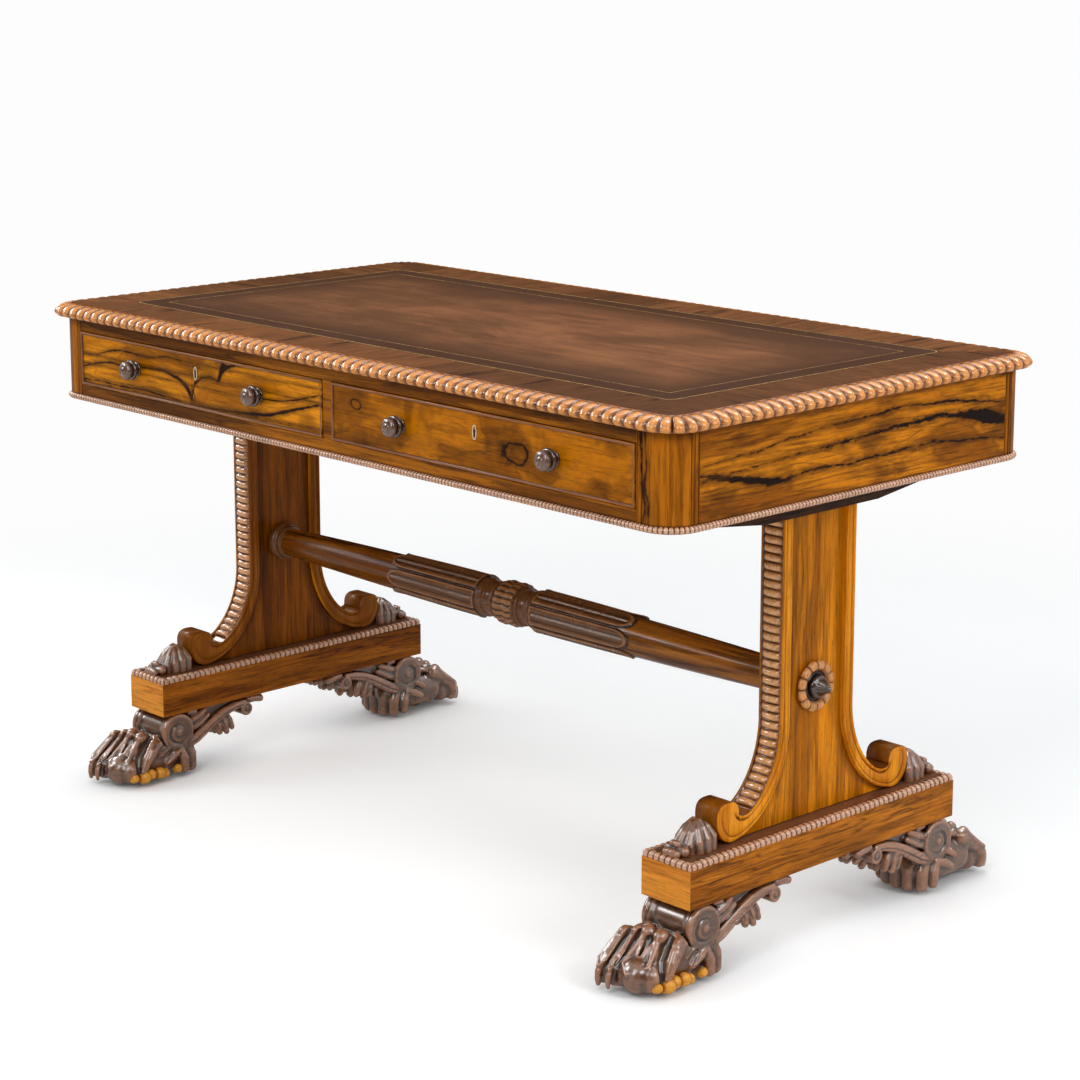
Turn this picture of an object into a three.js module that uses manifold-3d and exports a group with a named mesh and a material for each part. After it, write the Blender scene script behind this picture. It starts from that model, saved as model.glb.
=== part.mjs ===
// A library table with a leather-lined gadrooned top, two frieze drawers, scrolled end uprights and paw feet.
// Lengths are millimetres. +Z is up, +X runs to the right end and -Y is the side with the drawers.
// The origin is on the floor, under the middle of the top.
import * as THREE from "three";
import { mergeVertices } from "three/addons/utils/BufferGeometryUtils.js";
import Module from "manifold-3d";

const wasm = await Module();
wasm.setup();

// Overall sizes
const tableHeight = 740;
const topLength = 1308;
const topDepth = 720;
const topCornerRadius = 50;
const topOverhang = 18;
const topThickness = 18;

// Fits between pieces
const seat = 0.3;
const drawerClearance = 1;
const cutOverrun = 5;

// Top: gadroon, crossbanding and leather
const gadroonWidth = 28;
const gadroonReturn = 5;
const crossbandWidth = 70;
const leatherThickness = 1.5;
const leatherCornerRadius = 16;

// Frieze
const friezeHeight = 124.5;
const railDepth = 40;
const topRailHeight = 19.2;
const bottomRailHeight = 25;
const muntinWidth = 19;
const postFrontWidth = 58.5;
const postSideWidth = 48;
const panelThickness = 20;
const edgeBeadRadius = 6.4;

// Drawers
const drawerDepth = 500;
const drawerFrontThickness = 20;
const drawerBoardThickness = 9;
const drawerBottomThickness = 6;
const drawerBottomRise = 7;
const drawerGrooveDepth = 4;
const drawerSideDrop = 5;
const drawerBackDrop = 11;
const cockbeadWidth = 3;
const cockbeadProud = 2;
const runnerThickness = 16;
const runnerWidth = 32;
const guideHeight = 56;
const knobRadius = 15;
const knobProjection = 26;
const knobOffset = 144;
const escutcheonHeight = 20;
const escutcheonWidth = 8;
const escutcheonThickness = 1;
const escutcheonRise = 12;
const keyholeRadius = 1.6;
const lockWidth = 56;
const lockHeight = 40;
const lockThickness = 12;
const boltWidth = 18;
const boltHeight = 22;
const boltThickness = 5;
const boltTravel = 8;
const boltPlay = 0.6;

// Ends
const endInset = 100.5;
const bearerWidth = 44;
const bearerHeight = 31.5;
const bearerTipHeight = 4;
const bearerInset = 12;
const bearerFlatReach = 110;
const uprightThickness = 39;
const uprightHalfWidth = 71;
const bandThickness = 18;
const panelSink = 8;
const panelOverlap = 6;
const scrollReach = 188;
const scrollHeight = 54;
const scrollEndRadius = 20;
const flareHeight = 138;
const webSink = 13;
const webShares = [
  [1, 0],
  [0.66, 0.22],
  [0.48, 0.62],
];
// How far the ends of each scroll curve are pulled, as shares of its reach and rise.
const innerFlareShare = 0.57;
const innerSweepShare = 0.35;
const innerSweepRiseShare = 0.06;
const outerFlareShare = 0.56;
const outerSweepShare = 0.52;
const outerSweepRiseShare = 0.05;
const rollTurnShare = 0.8;
const hookShare = 0.3;
const platformInset = 100;
const platformWidth = 85;
const platformHeight = 59;
const platformTop = 161.5;
const leafBracketWidth = 46;
const leafBracketHeight = 39;
const leafDomeRadius = 22;
const budRadius = 14;

// Patera and stretcher
const stretcherAxisHeight = 334;
const pateraRadius = 34;
const pateraThickness = 9;
const bossRadius = 16;
const bossProjection = 30;
const ringRadius = 30;
const ringWidth = 20;
const poleEndRadius = 21.5;
const poleBellyRadius = 27.5;
const lappetRadius = 33;
const lappetReach = 262;
const lappetButt = 58;
const collarRadius = 24.5;
const collarEnd = 50;
const knopRadius = 33;
const knopHalfWidth = 24;
const knopShares = [
  [1, 0],
  [1, 0.45],
  [0.88, 0.85],
];
const lappetShares = [
  [0.85, 0],
  [1, 0.1],
  [1, 0.6],
  [0.93, 0.9],
];
const poleShares = [
  [1, 0],
  [0.95, 0.35],
  [0.89, 0.68],
];
const ringShares = [
  [0.92, 0.2],
  [1, 0.45],
  [1, 0.75],
  [0.94, 1],
];

// Feet
const footGap = 5;
const pawWidth = 94;
const pawHeelInset = 75;
const pawToeReach = 89;
const pawHeight = 74;
const pawRoundnessShare = 0.6;
const toeCount = 4;
const toeLength = 56;
const toeHeight = 50;
const toeWidthShare = 0.56;
const voluteRadius = 29;
const voluteInset = 28;
const voluteRimShare = 0.32;
const voluteWaistShare = 0.84;
const bracketWidth = 70;
const bracketInset = 208;
const bracketDrop = 53;

// Castors
const castorAxisOffset = 8;
const castorTrail = 13;
const castorWheelRadius = 15;
const castorWheelWidth = 11;
const castorWheelCrown = 1.5;
const castorAxleRadius = 2.5;
const castorCheekThickness = 3;
const castorCheekRadius = 6;
const castorPlateRadius = 14;
const castorPlateThickness = 4;
const castorPlateGap = 3;
const castorStemRadius = 4;
const castorStemLength = 22;
const castorSideRoom = 0.6;
const castorWellRoom = 2.5;

// Smoothness, as counts of segments
const cornerSteps = 8;
const roundSteps = 20;
const fineRoundSteps = 24;
const smallRoundSteps = 14;
const toeSteps = 10;
const curveSteps = 5;
const scrollSteps = 9;
const halfTurn = Math.PI;

// Places worked out from the sizes
const topUnderside = tableHeight - topThickness;
const friezeTop = topUnderside - seat;
const friezeBottom = topUnderside - friezeHeight;
const friezeHalfLength = topLength / 2 - topOverhang;
const friezeHalfDepth = topDepth / 2 - topOverhang;
const friezeCornerRadius = topCornerRadius - topOverhang / 2;
const openingBottom = friezeBottom + bottomRailHeight;
const openingTop = topUnderside - topRailHeight;
const openingInner = muntinWidth / 2;
const openingOuter = friezeHalfLength - postFrontWidth;
const panelHalfDepth = friezeHalfDepth - postSideWidth;
const endX = topLength / 2 - endInset;
const bearerReach = friezeHalfDepth - bearerInset;
const platformReach = topDepth / 2 - platformInset;
const pawHeel = platformReach - pawHeelInset;
const pawToe = platformReach + pawToeReach;
const voluteCentre = platformReach - voluteInset;
const bracketInnerReach = platformReach - bracketInset;
const castorAxisReach = platformReach + castorAxisOffset;
const platformBottom = platformTop - platformHeight;
const bearerTop = friezeBottom - seat;
const uprightTop = bearerTop - bearerHeight - seat;
const panelHalfThickness = uprightThickness / 2 - panelSink;

// Finishes
function finish(name, red, green, blue, roughness, metalness) {
  const material = new THREE.MeshStandardMaterial({ roughness, metalness });
  material.name = name;
  material.color.setRGB(red, green, blue, THREE.SRGBColorSpace);
  return material;
}
const rosewood = () => finish("rosewood", 0.66, 0.4, 0.13, 0.35, 0);
const carvedRosewood = () => finish("carved_rosewood", 0.36, 0.22, 0.14, 0.38, 0);
const gadroonWood = () => finish("gadroon_rosewood", 0.62, 0.4, 0.27, 0.3, 0);
const bearerWood = () => finish("dark_underframe", 0.16, 0.1, 0.07, 0.5, 0);
const drawerLining = () => finish("drawer_lining", 0.62, 0.47, 0.29, 0.6, 0);
const leather = () => finish("tooled_leather", 0.4, 0.28, 0.2, 0.5, 0);
const brass = () => finish("brass", 0.68, 0.52, 0.26, 0.35, 1);
const paleInlay = () => finish("pale_inlay", 0.93, 0.88, 0.76, 0.4, 0);
const castorIron = () => finish("castor_iron", 0.2, 0.18, 0.16, 0.45, 1);

// Solids
function toSolid(geometry) {
  const bare = geometry.index ? geometry.toNonIndexed() : geometry.clone();
  bare.deleteAttribute("normal");
  bare.deleteAttribute("uv");
  const merged = mergeVertices(bare, 1e-4);
  return new wasm.Manifold(
    new wasm.Mesh({
      numProp: 3,
      vertProperties: merged.attributes.position.array,
      triVerts: new Uint32Array(merged.index.array),
    }),
  );
}

function toGeometry(solid) {
  const mesh = solid.getMesh();
  const geometry = new THREE.BufferGeometry();
  geometry.setAttribute("position", new THREE.BufferAttribute(new Float32Array(mesh.vertProperties), 3));
  geometry.setIndex(new THREE.BufferAttribute(new Uint32Array(mesh.triVerts), 1));
  return geometry;
}

function join(...geometries) {
  return toGeometry(geometries.map(toSolid).reduce((whole, next) => whole.add(next)));
}

function cut(geometry, ...tools) {
  return toGeometry(tools.map(toSolid).reduce((whole, next) => whole.subtract(next), toSolid(geometry)));
}

function block(x0, x1, y0, y1, z0, z1) {
  const geometry = new THREE.BoxGeometry(x1 - x0, y1 - y0, z1 - z0);
  return geometry.translate((x0 + x1) / 2, (y0 + y1) / 2, (z0 + z1) / 2);
}

function extrude(shape, length, curveSegments = curveSteps) {
  return new THREE.ExtrudeGeometry(shape, { depth: length, bevelEnabled: false, curveSegments });
}

// A shape drawn in Y and Z, run along X.
function extrudeAlongX(shape, x0, x1) {
  const turn = new THREE.Matrix4().makeBasis(
    new THREE.Vector3(0, 1, 0),
    new THREE.Vector3(0, 0, 1),
    new THREE.Vector3(1, 0, 0),
  );
  return extrude(shape, x1 - x0).applyMatrix4(turn).translate(x0, 0, 0);
}

// A shape drawn in X and Z, run along Y.
function extrudeAlongY(shape, y0, y1) {
  const turn = new THREE.Matrix4().makeBasis(
    new THREE.Vector3(1, 0, 0),
    new THREE.Vector3(0, 0, 1),
    new THREE.Vector3(0, -1, 0),
  );
  return extrude(shape, y1 - y0).applyMatrix4(turn).translate(0, y1, 0);
}

function extrudeUp(shape, z0, z1) {
  return extrude(shape, z1 - z0).translate(0, 0, z0);
}

function polygon(points) {
  return new THREE.Shape(points.map(([a, b]) => new THREE.Vector2(a, b)));
}

function roundedRectangle(halfX, halfY, radius) {
  const shape = new THREE.Shape();
  shape.moveTo(halfX - radius, -halfY);
  shape.absarc(halfX - radius, -halfY + radius, radius, -halfTurn / 2, 0);
  shape.absarc(halfX - radius, halfY - radius, radius, 0, halfTurn / 2);
  shape.absarc(-halfX + radius, halfY - radius, radius, halfTurn / 2, halfTurn);
  shape.absarc(-halfX + radius, -halfY + radius, radius, halfTurn, 1.5 * halfTurn);
  return shape;
}

// A turned piece whose profile gives radius and height along its axis, stood up along Z.
function turned(profile, steps = roundSteps) {
  const geometry = new THREE.LatheGeometry(
    profile.map(([radius, height]) => new THREE.Vector2(radius, height)),
    steps,
  );
  return geometry.rotateX(halfTurn / 2);
}

// The same, with the axis along X.
function turnedAlongX(profile, steps = roundSteps) {
  return turned(profile, steps).rotateY(halfTurn / 2);
}

// Rings of equal count joined into one closed body, capped at both ends by the flat outline given.
function loft(rings, flatOutline) {
  const count = rings[0].length;
  const points = rings.flat();
  const triangles = [];
  for (let ring = 0; ring + 1 < rings.length; ring++) {
    for (let i = 0; i < count; i++) {
      const a = ring * count + i;
      const b = ring * count + ((i + 1) % count);
      triangles.push([a, b, a + count], [b, b + count, a + count]);
    }
  }
  const lastRing = (rings.length - 1) * count;
  const area = THREE.ShapeUtils.area(flatOutline);
  for (const [a, second, third] of THREE.ShapeUtils.triangulateShape(flatOutline, [])) {
    const corners = [flatOutline[a], flatOutline[second], flatOutline[third]];
    const agrees = THREE.ShapeUtils.area(corners) * area > 0;
    const [b, c] = agrees ? [second, third] : [third, second];
    triangles.push([a, c, b], [lastRing + a, lastRing + b, lastRing + c]);
  }
  const volume = triangles.reduce(
    (sum, [a, b, c]) => sum + points[a].dot(points[b].clone().cross(points[c])),
    0,
  );
  const facing = volume < 0 ? triangles.map(([a, b, c]) => [a, c, b]) : triangles;
  const geometry = new THREE.BufferGeometry().setFromPoints(points);
  geometry.setIndex(facing.flat());
  return geometry;
}

// Stations along the edge of a rounded rectangle from the middle of one corner to the middle of the next.
function edgeStations(halfX, halfY, radius, side, gap) {
  const sides = { front: -halfTurn / 2, right: 0, back: halfTurn / 2, left: halfTurn };
  const middle = sides[side];
  const alongX = side === "front" || side === "back";
  const stations = [];
  for (const end of [-1, 1]) {
    for (let i = 0; i <= cornerSteps / 2; i++) {
      const share = end < 0 ? 1 - i / (cornerSteps / 2) : i / (cornerSteps / 2);
      const angle = middle + (end * share * halfTurn) / 4;
      const along = (alongX ? halfX : halfY) - radius;
      const across = (alongX ? halfY : halfX) - radius;
      const out = new THREE.Vector2(Math.cos(middle), Math.sin(middle));
      const run = new THREE.Vector2(-Math.sin(middle), Math.cos(middle));
      const centre = out.multiplyScalar(across).addScaledVector(run, end * along);
      const normal = new THREE.Vector2(Math.cos(angle), Math.sin(angle));
      const trim = share === 1 ? (-end * gap) / 2 : 0;
      const tangent = new THREE.Vector2(-normal.y, normal.x);
      const point = centre.addScaledVector(normal, radius).addScaledVector(tangent, trim);
      stations.push({ point, normal });
    }
  }
  return stations;
}

// A section drawn as distance outwards and height, run along stations.
function sweep(stations, section) {
  const rings = stations.map(({ point, normal }) =>
    section.map(
      ([out, z]) => new THREE.Vector3(point.x + normal.x * out, point.y + normal.y * out, z),
    ),
  );
  return loft(rings, section.map(([out, z]) => new THREE.Vector2(out, z)));
}

const model = new THREE.Group();
model.name = "library_table";

function add(name, geometry, material) {
  const mesh = new THREE.Mesh(geometry, material);
  mesh.name = name;
  model.add(mesh);
}

// Top
function leatherOutline(shrink) {
  const margin = gadroonWidth + crossbandWidth;
  return roundedRectangle(
    topLength / 2 - margin - shrink,
    topDepth / 2 - margin - shrink,
    leatherCornerRadius - shrink,
  );
}

function makeTopBoard() {
  const inset = gadroonWidth + seat;
  const outline = roundedRectangle(
    topLength / 2 - inset,
    topDepth / 2 - inset,
    topCornerRadius - inset,
  );
  const board = extrudeUp(outline, topUnderside, tableHeight);
  const recess = extrudeUp(
    leatherOutline(0),
    tableHeight - leatherThickness - seat,
    tableHeight + cutOverrun,
  );
  return cut(board, recess);
}

function makeLeather() {
  return extrudeUp(leatherOutline(seat), tableHeight - leatherThickness, tableHeight);
}

// The gadroon's section: a bold thumb from the flat of the top down to a narrow return above the frieze.
function gadroonSection() {
  const thumbShares = [
    [-1, 1],
    [-0.75, 0.985],
    [-0.5, 0.93],
    [-0.26, 0.81],
    [-0.09, 0.62],
    [0, 0.4],
    [-0.04, 0.17],
  ];
  const curve = thumbShares.map(([out, rise]) => [
    out * gadroonWidth,
    topUnderside + rise * topThickness,
  ]);
  return [...curve, [-gadroonReturn, topUnderside], [-gadroonWidth, topUnderside]];
}

function makeGadroon(side) {
  const stations = edgeStations(topLength / 2, topDepth / 2, topCornerRadius, side, seat);
  return sweep(stations, gadroonSection());
}

// Frieze
// A frieze member's section, out from its face and up, with the half-round bead at its lower edge.
function beadedSection(depth, top) {
  const points = [[-depth, friezeBottom]];
  const steps = cornerSteps;
  for (let i = 0; i <= steps; i++) {
    const angle = -halfTurn / 2 + (i * halfTurn) / steps;
    points.push([
      edgeBeadRadius * Math.cos(angle),
      friezeBottom + edgeBeadRadius + edgeBeadRadius * Math.sin(angle),
    ]);
  }
  points.push([0, top], [-depth, top]);
  return points;
}

function makeBottomRail() {
  const reach = openingOuter - seat;
  const section = beadedSection(railDepth, openingBottom);
  const flipped = section.map(([out, z]) => [-friezeHalfDepth - out, z]);
  return extrudeAlongX(polygon(flipped), -reach, reach);
}

function makeTopRail() {
  const reach = openingOuter - seat;
  const rail = block(
    -reach, reach,
    -friezeHalfDepth, -friezeHalfDepth + railDepth,
    openingTop, friezeTop,
  );
  return cut(rail, boltMortise(-1), boltMortise(1));
}

function makeMuntin() {
  return block(
    -muntinWidth / 2, muntinWidth / 2,
    -friezeHalfDepth, -friezeHalfDepth + railDepth,
    openingBottom + seat, openingTop - seat,
  );
}

function makeBackBoard() {
  const reach = openingOuter - seat;
  const section = beadedSection(panelThickness, friezeTop);
  const placed = section.map(([out, z]) => [friezeHalfDepth + out, z]);
  return extrudeAlongX(polygon(placed), -reach, reach);
}

function makeEndPanel(side) {
  const reach = panelHalfDepth - seat;
  const section = beadedSection(panelThickness, friezeTop);
  const placed = section.map(([out, z]) => [side * (friezeHalfLength + out), z]);
  return extrudeAlongY(polygon(placed), -reach, reach);
}

// A corner post: its plan is a block with one rounded corner, and the bead runs round its foot.
function postPlan(proud) {
  const outerX = friezeHalfLength + proud;
  const outerY = friezeHalfDepth + proud;
  const radius = friezeCornerRadius + proud;
  const points = [
    [friezeHalfLength - postFrontWidth, friezeHalfDepth - postSideWidth],
    [outerX, friezeHalfDepth - postSideWidth],
  ];
  for (let i = 0; i <= cornerSteps; i++) {
    const angle = (i * halfTurn) / 2 / cornerSteps;
    points.push([
      outerX - radius + radius * Math.cos(angle),
      outerY - radius + radius * Math.sin(angle),
    ]);
  }
  points.push([friezeHalfLength - postFrontWidth, outerY]);
  return points;
}

function makePost(sideX, sideY) {
  const levels = beadedSection(0, friezeTop).slice(1, -1);
  const rings = levels.map(([proud, z]) =>
    postPlan(proud).map(([x, y]) => new THREE.Vector3(sideX * x, sideY * y, z)),
  );
  return loft(rings, postPlan(0).map(([x, y]) => new THREE.Vector2(x, y)));
}

// Runners
function makeSideRunner(side) {
  const inner = openingOuter - runnerWidth;
  const outer = friezeHalfLength - panelThickness - seat;
  const reach = panelHalfDepth - seat;
  const section = polygon([
    [side * inner, openingBottom - runnerThickness],
    [side * outer, openingBottom - runnerThickness],
    [side * outer, openingBottom + guideHeight],
    [side * openingOuter, openingBottom + guideHeight],
    [side * openingOuter, openingBottom],
    [side * inner, openingBottom],
  ]);
  return extrudeAlongY(section, -reach, reach);
}

function makeCentreRunner() {
  const wing = openingInner + runnerWidth;
  const section = polygon([
    [-wing, openingBottom - runnerThickness],
    [wing, openingBottom - runnerThickness],
    [wing, openingBottom],
    [openingInner, openingBottom],
    [openingInner, openingBottom + guideHeight],
    [-openingInner, openingBottom + guideHeight],
    [-openingInner, openingBottom],
    [-wing, openingBottom],
  ]);
  const front = -friezeHalfDepth + railDepth + seat;
  const back = friezeHalfDepth - panelThickness - seat;
  return extrudeAlongY(section, front, back);
}

// Drawers. side is -1 for the left drawer and 1 for the right one.
const drawerCentreX = (openingInner + openingOuter) / 2;
const drawerHalfWidth = (openingOuter - openingInner) / 2 - drawerClearance;
const drawerFrontBottom = openingBottom + drawerClearance;
const drawerFrontTop = openingTop - drawerClearance;
const drawerMiddleHeight = (drawerFrontBottom + drawerFrontTop) / 2;
const drawerFace = -friezeHalfDepth;
const drawerFrontBack = drawerFace + drawerFrontThickness;
const drawerRear = drawerFace + drawerDepth;
const drawerSideBottom = openingBottom + seat;
const drawerSideTop = drawerFrontTop - drawerSideDrop;
const drawerFloor = drawerSideBottom + drawerBottomRise;
const boltMiddleY = drawerFrontBack + seat + lockThickness / 2;

function boltMortise(side) {
  const halfWidth = boltWidth / 2 + boltPlay;
  const halfThickness = boltThickness / 2 + boltPlay;
  const middle = side * drawerCentreX;
  return block(
    middle - halfWidth, middle + halfWidth,
    boltMiddleY - halfThickness, boltMiddleY + halfThickness,
    openingTop - cutOverrun, drawerFrontTop + boltTravel + boltPlay,
  );
}

function makeDrawerFront(side) {
  const x0 = side * drawerCentreX - drawerHalfWidth;
  const x1 = side * drawerCentreX + drawerHalfWidth;
  const proudFace = drawerFace - cockbeadProud;
  const blank = block(x0, x1, proudFace, drawerFrontBack, drawerFrontBottom, drawerFrontTop);
  const field = block(
    x0 + cockbeadWidth, x1 - cockbeadWidth,
    proudFace - cutOverrun, drawerFace,
    drawerFrontBottom + cockbeadWidth, drawerFrontTop - cockbeadWidth,
  );
  const groove = block(
    x0 + drawerBoardThickness - drawerGrooveDepth, x1 - drawerBoardThickness + drawerGrooveDepth,
    drawerFrontBack - drawerGrooveDepth, drawerFrontBack + cutOverrun,
    drawerFloor, drawerFloor + drawerBottomThickness,
  );
  return cut(blank, field, groove);
}

function makeDrawerSide(side, hand) {
  const outer = side * drawerCentreX + hand * drawerHalfWidth;
  const inner = outer - hand * drawerBoardThickness;
  const grooveBottom = inner + hand * drawerGrooveDepth;
  const grooveMouth = inner - hand * cutOverrun;
  const board = block(
    Math.min(outer, inner), Math.max(outer, inner),
    drawerFrontBack + seat, drawerRear,
    drawerSideBottom, drawerSideTop,
  );
  const groove = block(
    Math.min(grooveBottom, grooveMouth), Math.max(grooveBottom, grooveMouth),
    drawerFrontBack - cutOverrun, drawerRear + cutOverrun,
    drawerFloor, drawerFloor + drawerBottomThickness,
  );
  return cut(board, groove);
}

function makeDrawerBottom(side) {
  const reach = drawerHalfWidth - drawerBoardThickness + drawerGrooveDepth - seat;
  return block(
    side * drawerCentreX - reach, side * drawerCentreX + reach,
    drawerFrontBack - drawerGrooveDepth + seat, drawerRear,
    drawerFloor + seat, drawerFloor + drawerBottomThickness - seat,
  );
}

function makeDrawerBack(side) {
  const reach = drawerHalfWidth - drawerBoardThickness - seat;
  return block(
    side * drawerCentreX - reach, side * drawerCentreX + reach,
    drawerRear - drawerBoardThickness, drawerRear,
    drawerFloor + drawerBottomThickness, drawerFrontTop - drawerBackDrop,
  );
}

// A knob with a domed face, a rolled rim and a waisted neck.
function makeKnob(x) {
  const knobShares = [
    [0, 0],
    [0.56, 0],
    [0.6, 0.08],
    [0.42, 0.2],
    [0.42, 0.38],
    [0.86, 0.5],
    [1, 0.62],
    [1, 0.74],
    [0.86, 0.86],
    [0.5, 0.97],
    [0, 1],
  ];
  const profile = knobShares.map(([radius, out]) => [radius * knobRadius, out * knobProjection]);
  const knob = turned(profile, smallRoundSteps).rotateX(halfTurn / 2);
  return knob.translate(x, drawerFace - seat, drawerMiddleHeight);
}

function makeEscutcheon(side) {
  const plate = new THREE.Shape();
  plate.absellipse(0, 0, escutcheonWidth / 2, escutcheonHeight / 2, 0, 2 * halfTurn);
  const keyhole = new THREE.Path();
  keyhole.absarc(0, 0, keyholeRadius, 0, 2 * halfTurn, true);
  plate.holes.push(keyhole);
  const geometry = extrudeAlongY(plate, drawerFace - seat - escutcheonThickness, drawerFace - seat);
  return geometry.translate(side * drawerCentreX, 0, drawerMiddleHeight + escutcheonRise);
}

function makeLockCase(side) {
  const middle = side * drawerCentreX;
  const box = block(
    middle - lockWidth / 2, middle + lockWidth / 2,
    drawerFrontBack + seat, drawerFrontBack + seat + lockThickness,
    drawerFrontTop - lockHeight, drawerFrontTop,
  );
  const slot = block(
    middle - boltWidth / 2 - boltPlay, middle + boltWidth / 2 + boltPlay,
    boltMiddleY - boltThickness / 2 - boltPlay, boltMiddleY + boltThickness / 2 + boltPlay,
    drawerFrontTop - boltHeight - seat, drawerFrontTop + cutOverrun,
  );
  return cut(box, slot);
}

function makeLockBolt(side) {
  const middle = side * drawerCentreX;
  return block(
    middle - boltWidth / 2, middle + boltWidth / 2,
    boltMiddleY - boltThickness / 2, boltMiddleY + boltThickness / 2,
    drawerFrontTop - boltHeight, drawerFrontTop,
  );
}

// Ends. side is -1 for the left end and 1 for the right one.
function makeBearer(side) {
  const flatZ = bearerTop - bearerHeight;
  const tipZ = bearerTop - bearerTipHeight;
  const outline = polygon([
    [-bearerReach, bearerTop],
    [-bearerReach, tipZ],
    [-bearerFlatReach, flatZ],
    [bearerFlatReach, flatZ],
    [bearerReach, tipZ],
    [bearerReach, bearerTop],
  ]);
  const middle = side * endX;
  return extrudeAlongX(outline, middle - bearerWidth / 2, middle + bearerWidth / 2);
}

// One side band of an upright, in Y and Z: straight down, out in a long curve and up into a rolled end.
function scrollBandShape(hand) {
  const low = platformTop + seat;
  const flareZ = low + flareHeight;
  const flareInner = uprightHalfWidth - bandThickness;
  const rollCentre = scrollReach - scrollEndRadius;
  const rollZ = low + scrollHeight - scrollEndRadius;
  const seatReach = rollCentre - scrollEndRadius / 2;
  const throat = rollCentre - scrollEndRadius;
  const bandTop = low + bandThickness + panelSink;
  const path = new THREE.Path();
  path.moveTo(flareInner, uprightTop);
  path.lineTo(flareInner, flareZ);
  path.bezierCurveTo(
    flareInner, low + innerFlareShare * flareHeight,
    flareInner + innerSweepShare * (seatReach - flareInner), low + innerSweepRiseShare * flareHeight,
    seatReach, low,
  );
  path.bezierCurveTo(
    rollCentre + scrollEndRadius / 2, low,
    scrollReach, rollZ - rollTurnShare * scrollEndRadius,
    scrollReach, rollZ,
  );
  path.absarc(rollCentre, rollZ, scrollEndRadius, 0, halfTurn, false);
  path.quadraticCurveTo(throat, bandTop, throat - hookShare * scrollEndRadius, bandTop);
  path.bezierCurveTo(
    uprightHalfWidth + outerSweepShare * (throat - uprightHalfWidth),
    bandTop + outerSweepRiseShare * flareHeight,
    uprightHalfWidth, low + outerFlareShare * flareHeight,
    uprightHalfWidth, flareZ,
  );
  path.lineTo(uprightHalfWidth, uprightTop);
  const points = path.getPoints(scrollSteps);
  return new THREE.Shape(points.map((point) => new THREE.Vector2(hand * point.x, point.y)));
}

function makeUpright(side) {
  const low = platformTop + seat;
  const middle = side * endX;
  const half = uprightThickness / 2;
  const bands = [-1, 1].map((hand) =>
    extrudeAlongX(scrollBandShape(hand), middle - half, middle + half),
  );
  const panelReach = uprightHalfWidth - bandThickness + panelOverlap;
  const panel = block(
    middle - panelHalfThickness, middle + panelHalfThickness,
    -panelReach, panelReach,
    low, uprightTop,
  );
  // The web closes the corner between the panel and each scroll.
  const seatReach = scrollReach - 1.5 * scrollEndRadius;
  const webHalf = half - webSink;
  const webSide = (hand) =>
    webShares.map(([reach, rise]) => [hand * reach * seatReach, low + rise * flareHeight]);
  const webOutline = polygon([...webSide(1), ...webSide(-1).reverse()]);
  const web = extrudeAlongX(webOutline, middle - webHalf, middle + webHalf);
  return join(panel, web, ...bands);
}

// A carved leaf with a bud, standing on the platform outside the scroll.
function leafBracket(middle, hand) {
  const scrollEdge = scrollReach + seat;
  const domeY = scrollEdge + leafDomeRadius;
  const dome = new THREE.SphereGeometry(1, smallRoundSteps, smallRoundSteps / 2);
  dome.scale(leafBracketWidth / 2, leafDomeRadius, leafBracketHeight);
  dome.translate(middle, hand * domeY, platformTop);
  const bud = new THREE.SphereGeometry(budRadius, smallRoundSteps, smallRoundSteps / 2);
  const budY = domeY + leafDomeRadius + budRadius / 2;
  bud.translate(middle, hand * budY, platformTop + budRadius);
  const under = block(
    middle - leafBracketWidth, middle + leafBracketWidth,
    -platformReach, platformReach,
    platformTop - leafBracketWidth, platformTop - seat,
  );
  return cut(join(dome, bud), under);
}

function makePlatform(side) {
  const middle = side * endX;
  const body = block(
    middle - platformWidth / 2, middle + platformWidth / 2,
    -platformReach, platformReach,
    platformBottom, platformTop,
  );
  return join(body, leafBracket(middle, -1), leafBracket(middle, 1));
}

function makePatera(side) {
  const petalShares = [
    [0, 0],
    [0.88, 0],
    [1, 0.3],
    [1, 0.6],
    [0.9, 0.95],
    [0.74, 1],
    [0.58, 0.8],
  ];
  const bossShares = [
    [1, 0.3],
    [0.92, 0.48],
    [0.6, 0.66],
    [0.34, 0.84],
    [0, 1],
  ];
  const profile = [
    ...petalShares.map(([radius, out]) => [radius * pateraRadius, out * pateraThickness]),
    ...bossShares.map(([radius, out]) => [radius * bossRadius, out * bossProjection]),
  ];
  const disc = turnedAlongX(profile);
  disc.rotateZ(side < 0 ? halfTurn : 0);
  return disc.translate(side * (endX + panelHalfThickness + seat), 0, stretcherAxisHeight);
}

// Half of the stretcher's profile, from its middle to its end ring.
function stretcherHalfProfile() {
  const end = endX - panelHalfThickness - seat;
  const ringStart = end - ringWidth;
  const along = (shares, radius, start, stop) =>
    shares.map(([size, place]) => [size * radius, start + place * (stop - start)]);
  return [
    ...along(knopShares, knopRadius, 0, knopHalfWidth),
    [collarRadius, knopHalfWidth],
    [collarRadius, collarEnd],
    ...along(lappetShares, lappetRadius, lappetButt, lappetReach),
    ...along(poleShares, poleBellyRadius, lappetReach, ringStart),
    [poleEndRadius, ringStart],
    ...along(ringShares, ringRadius, ringStart, end),
    [0, end],
  ];
}

function makeStretcher() {
  const half = stretcherHalfProfile();
  const mirrored = half.slice(1).reverse().map(([radius, along]) => [radius, -along]);
  return turnedAlongX([...mirrored, ...half]).translate(0, 0, stretcherAxisHeight);
}

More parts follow.
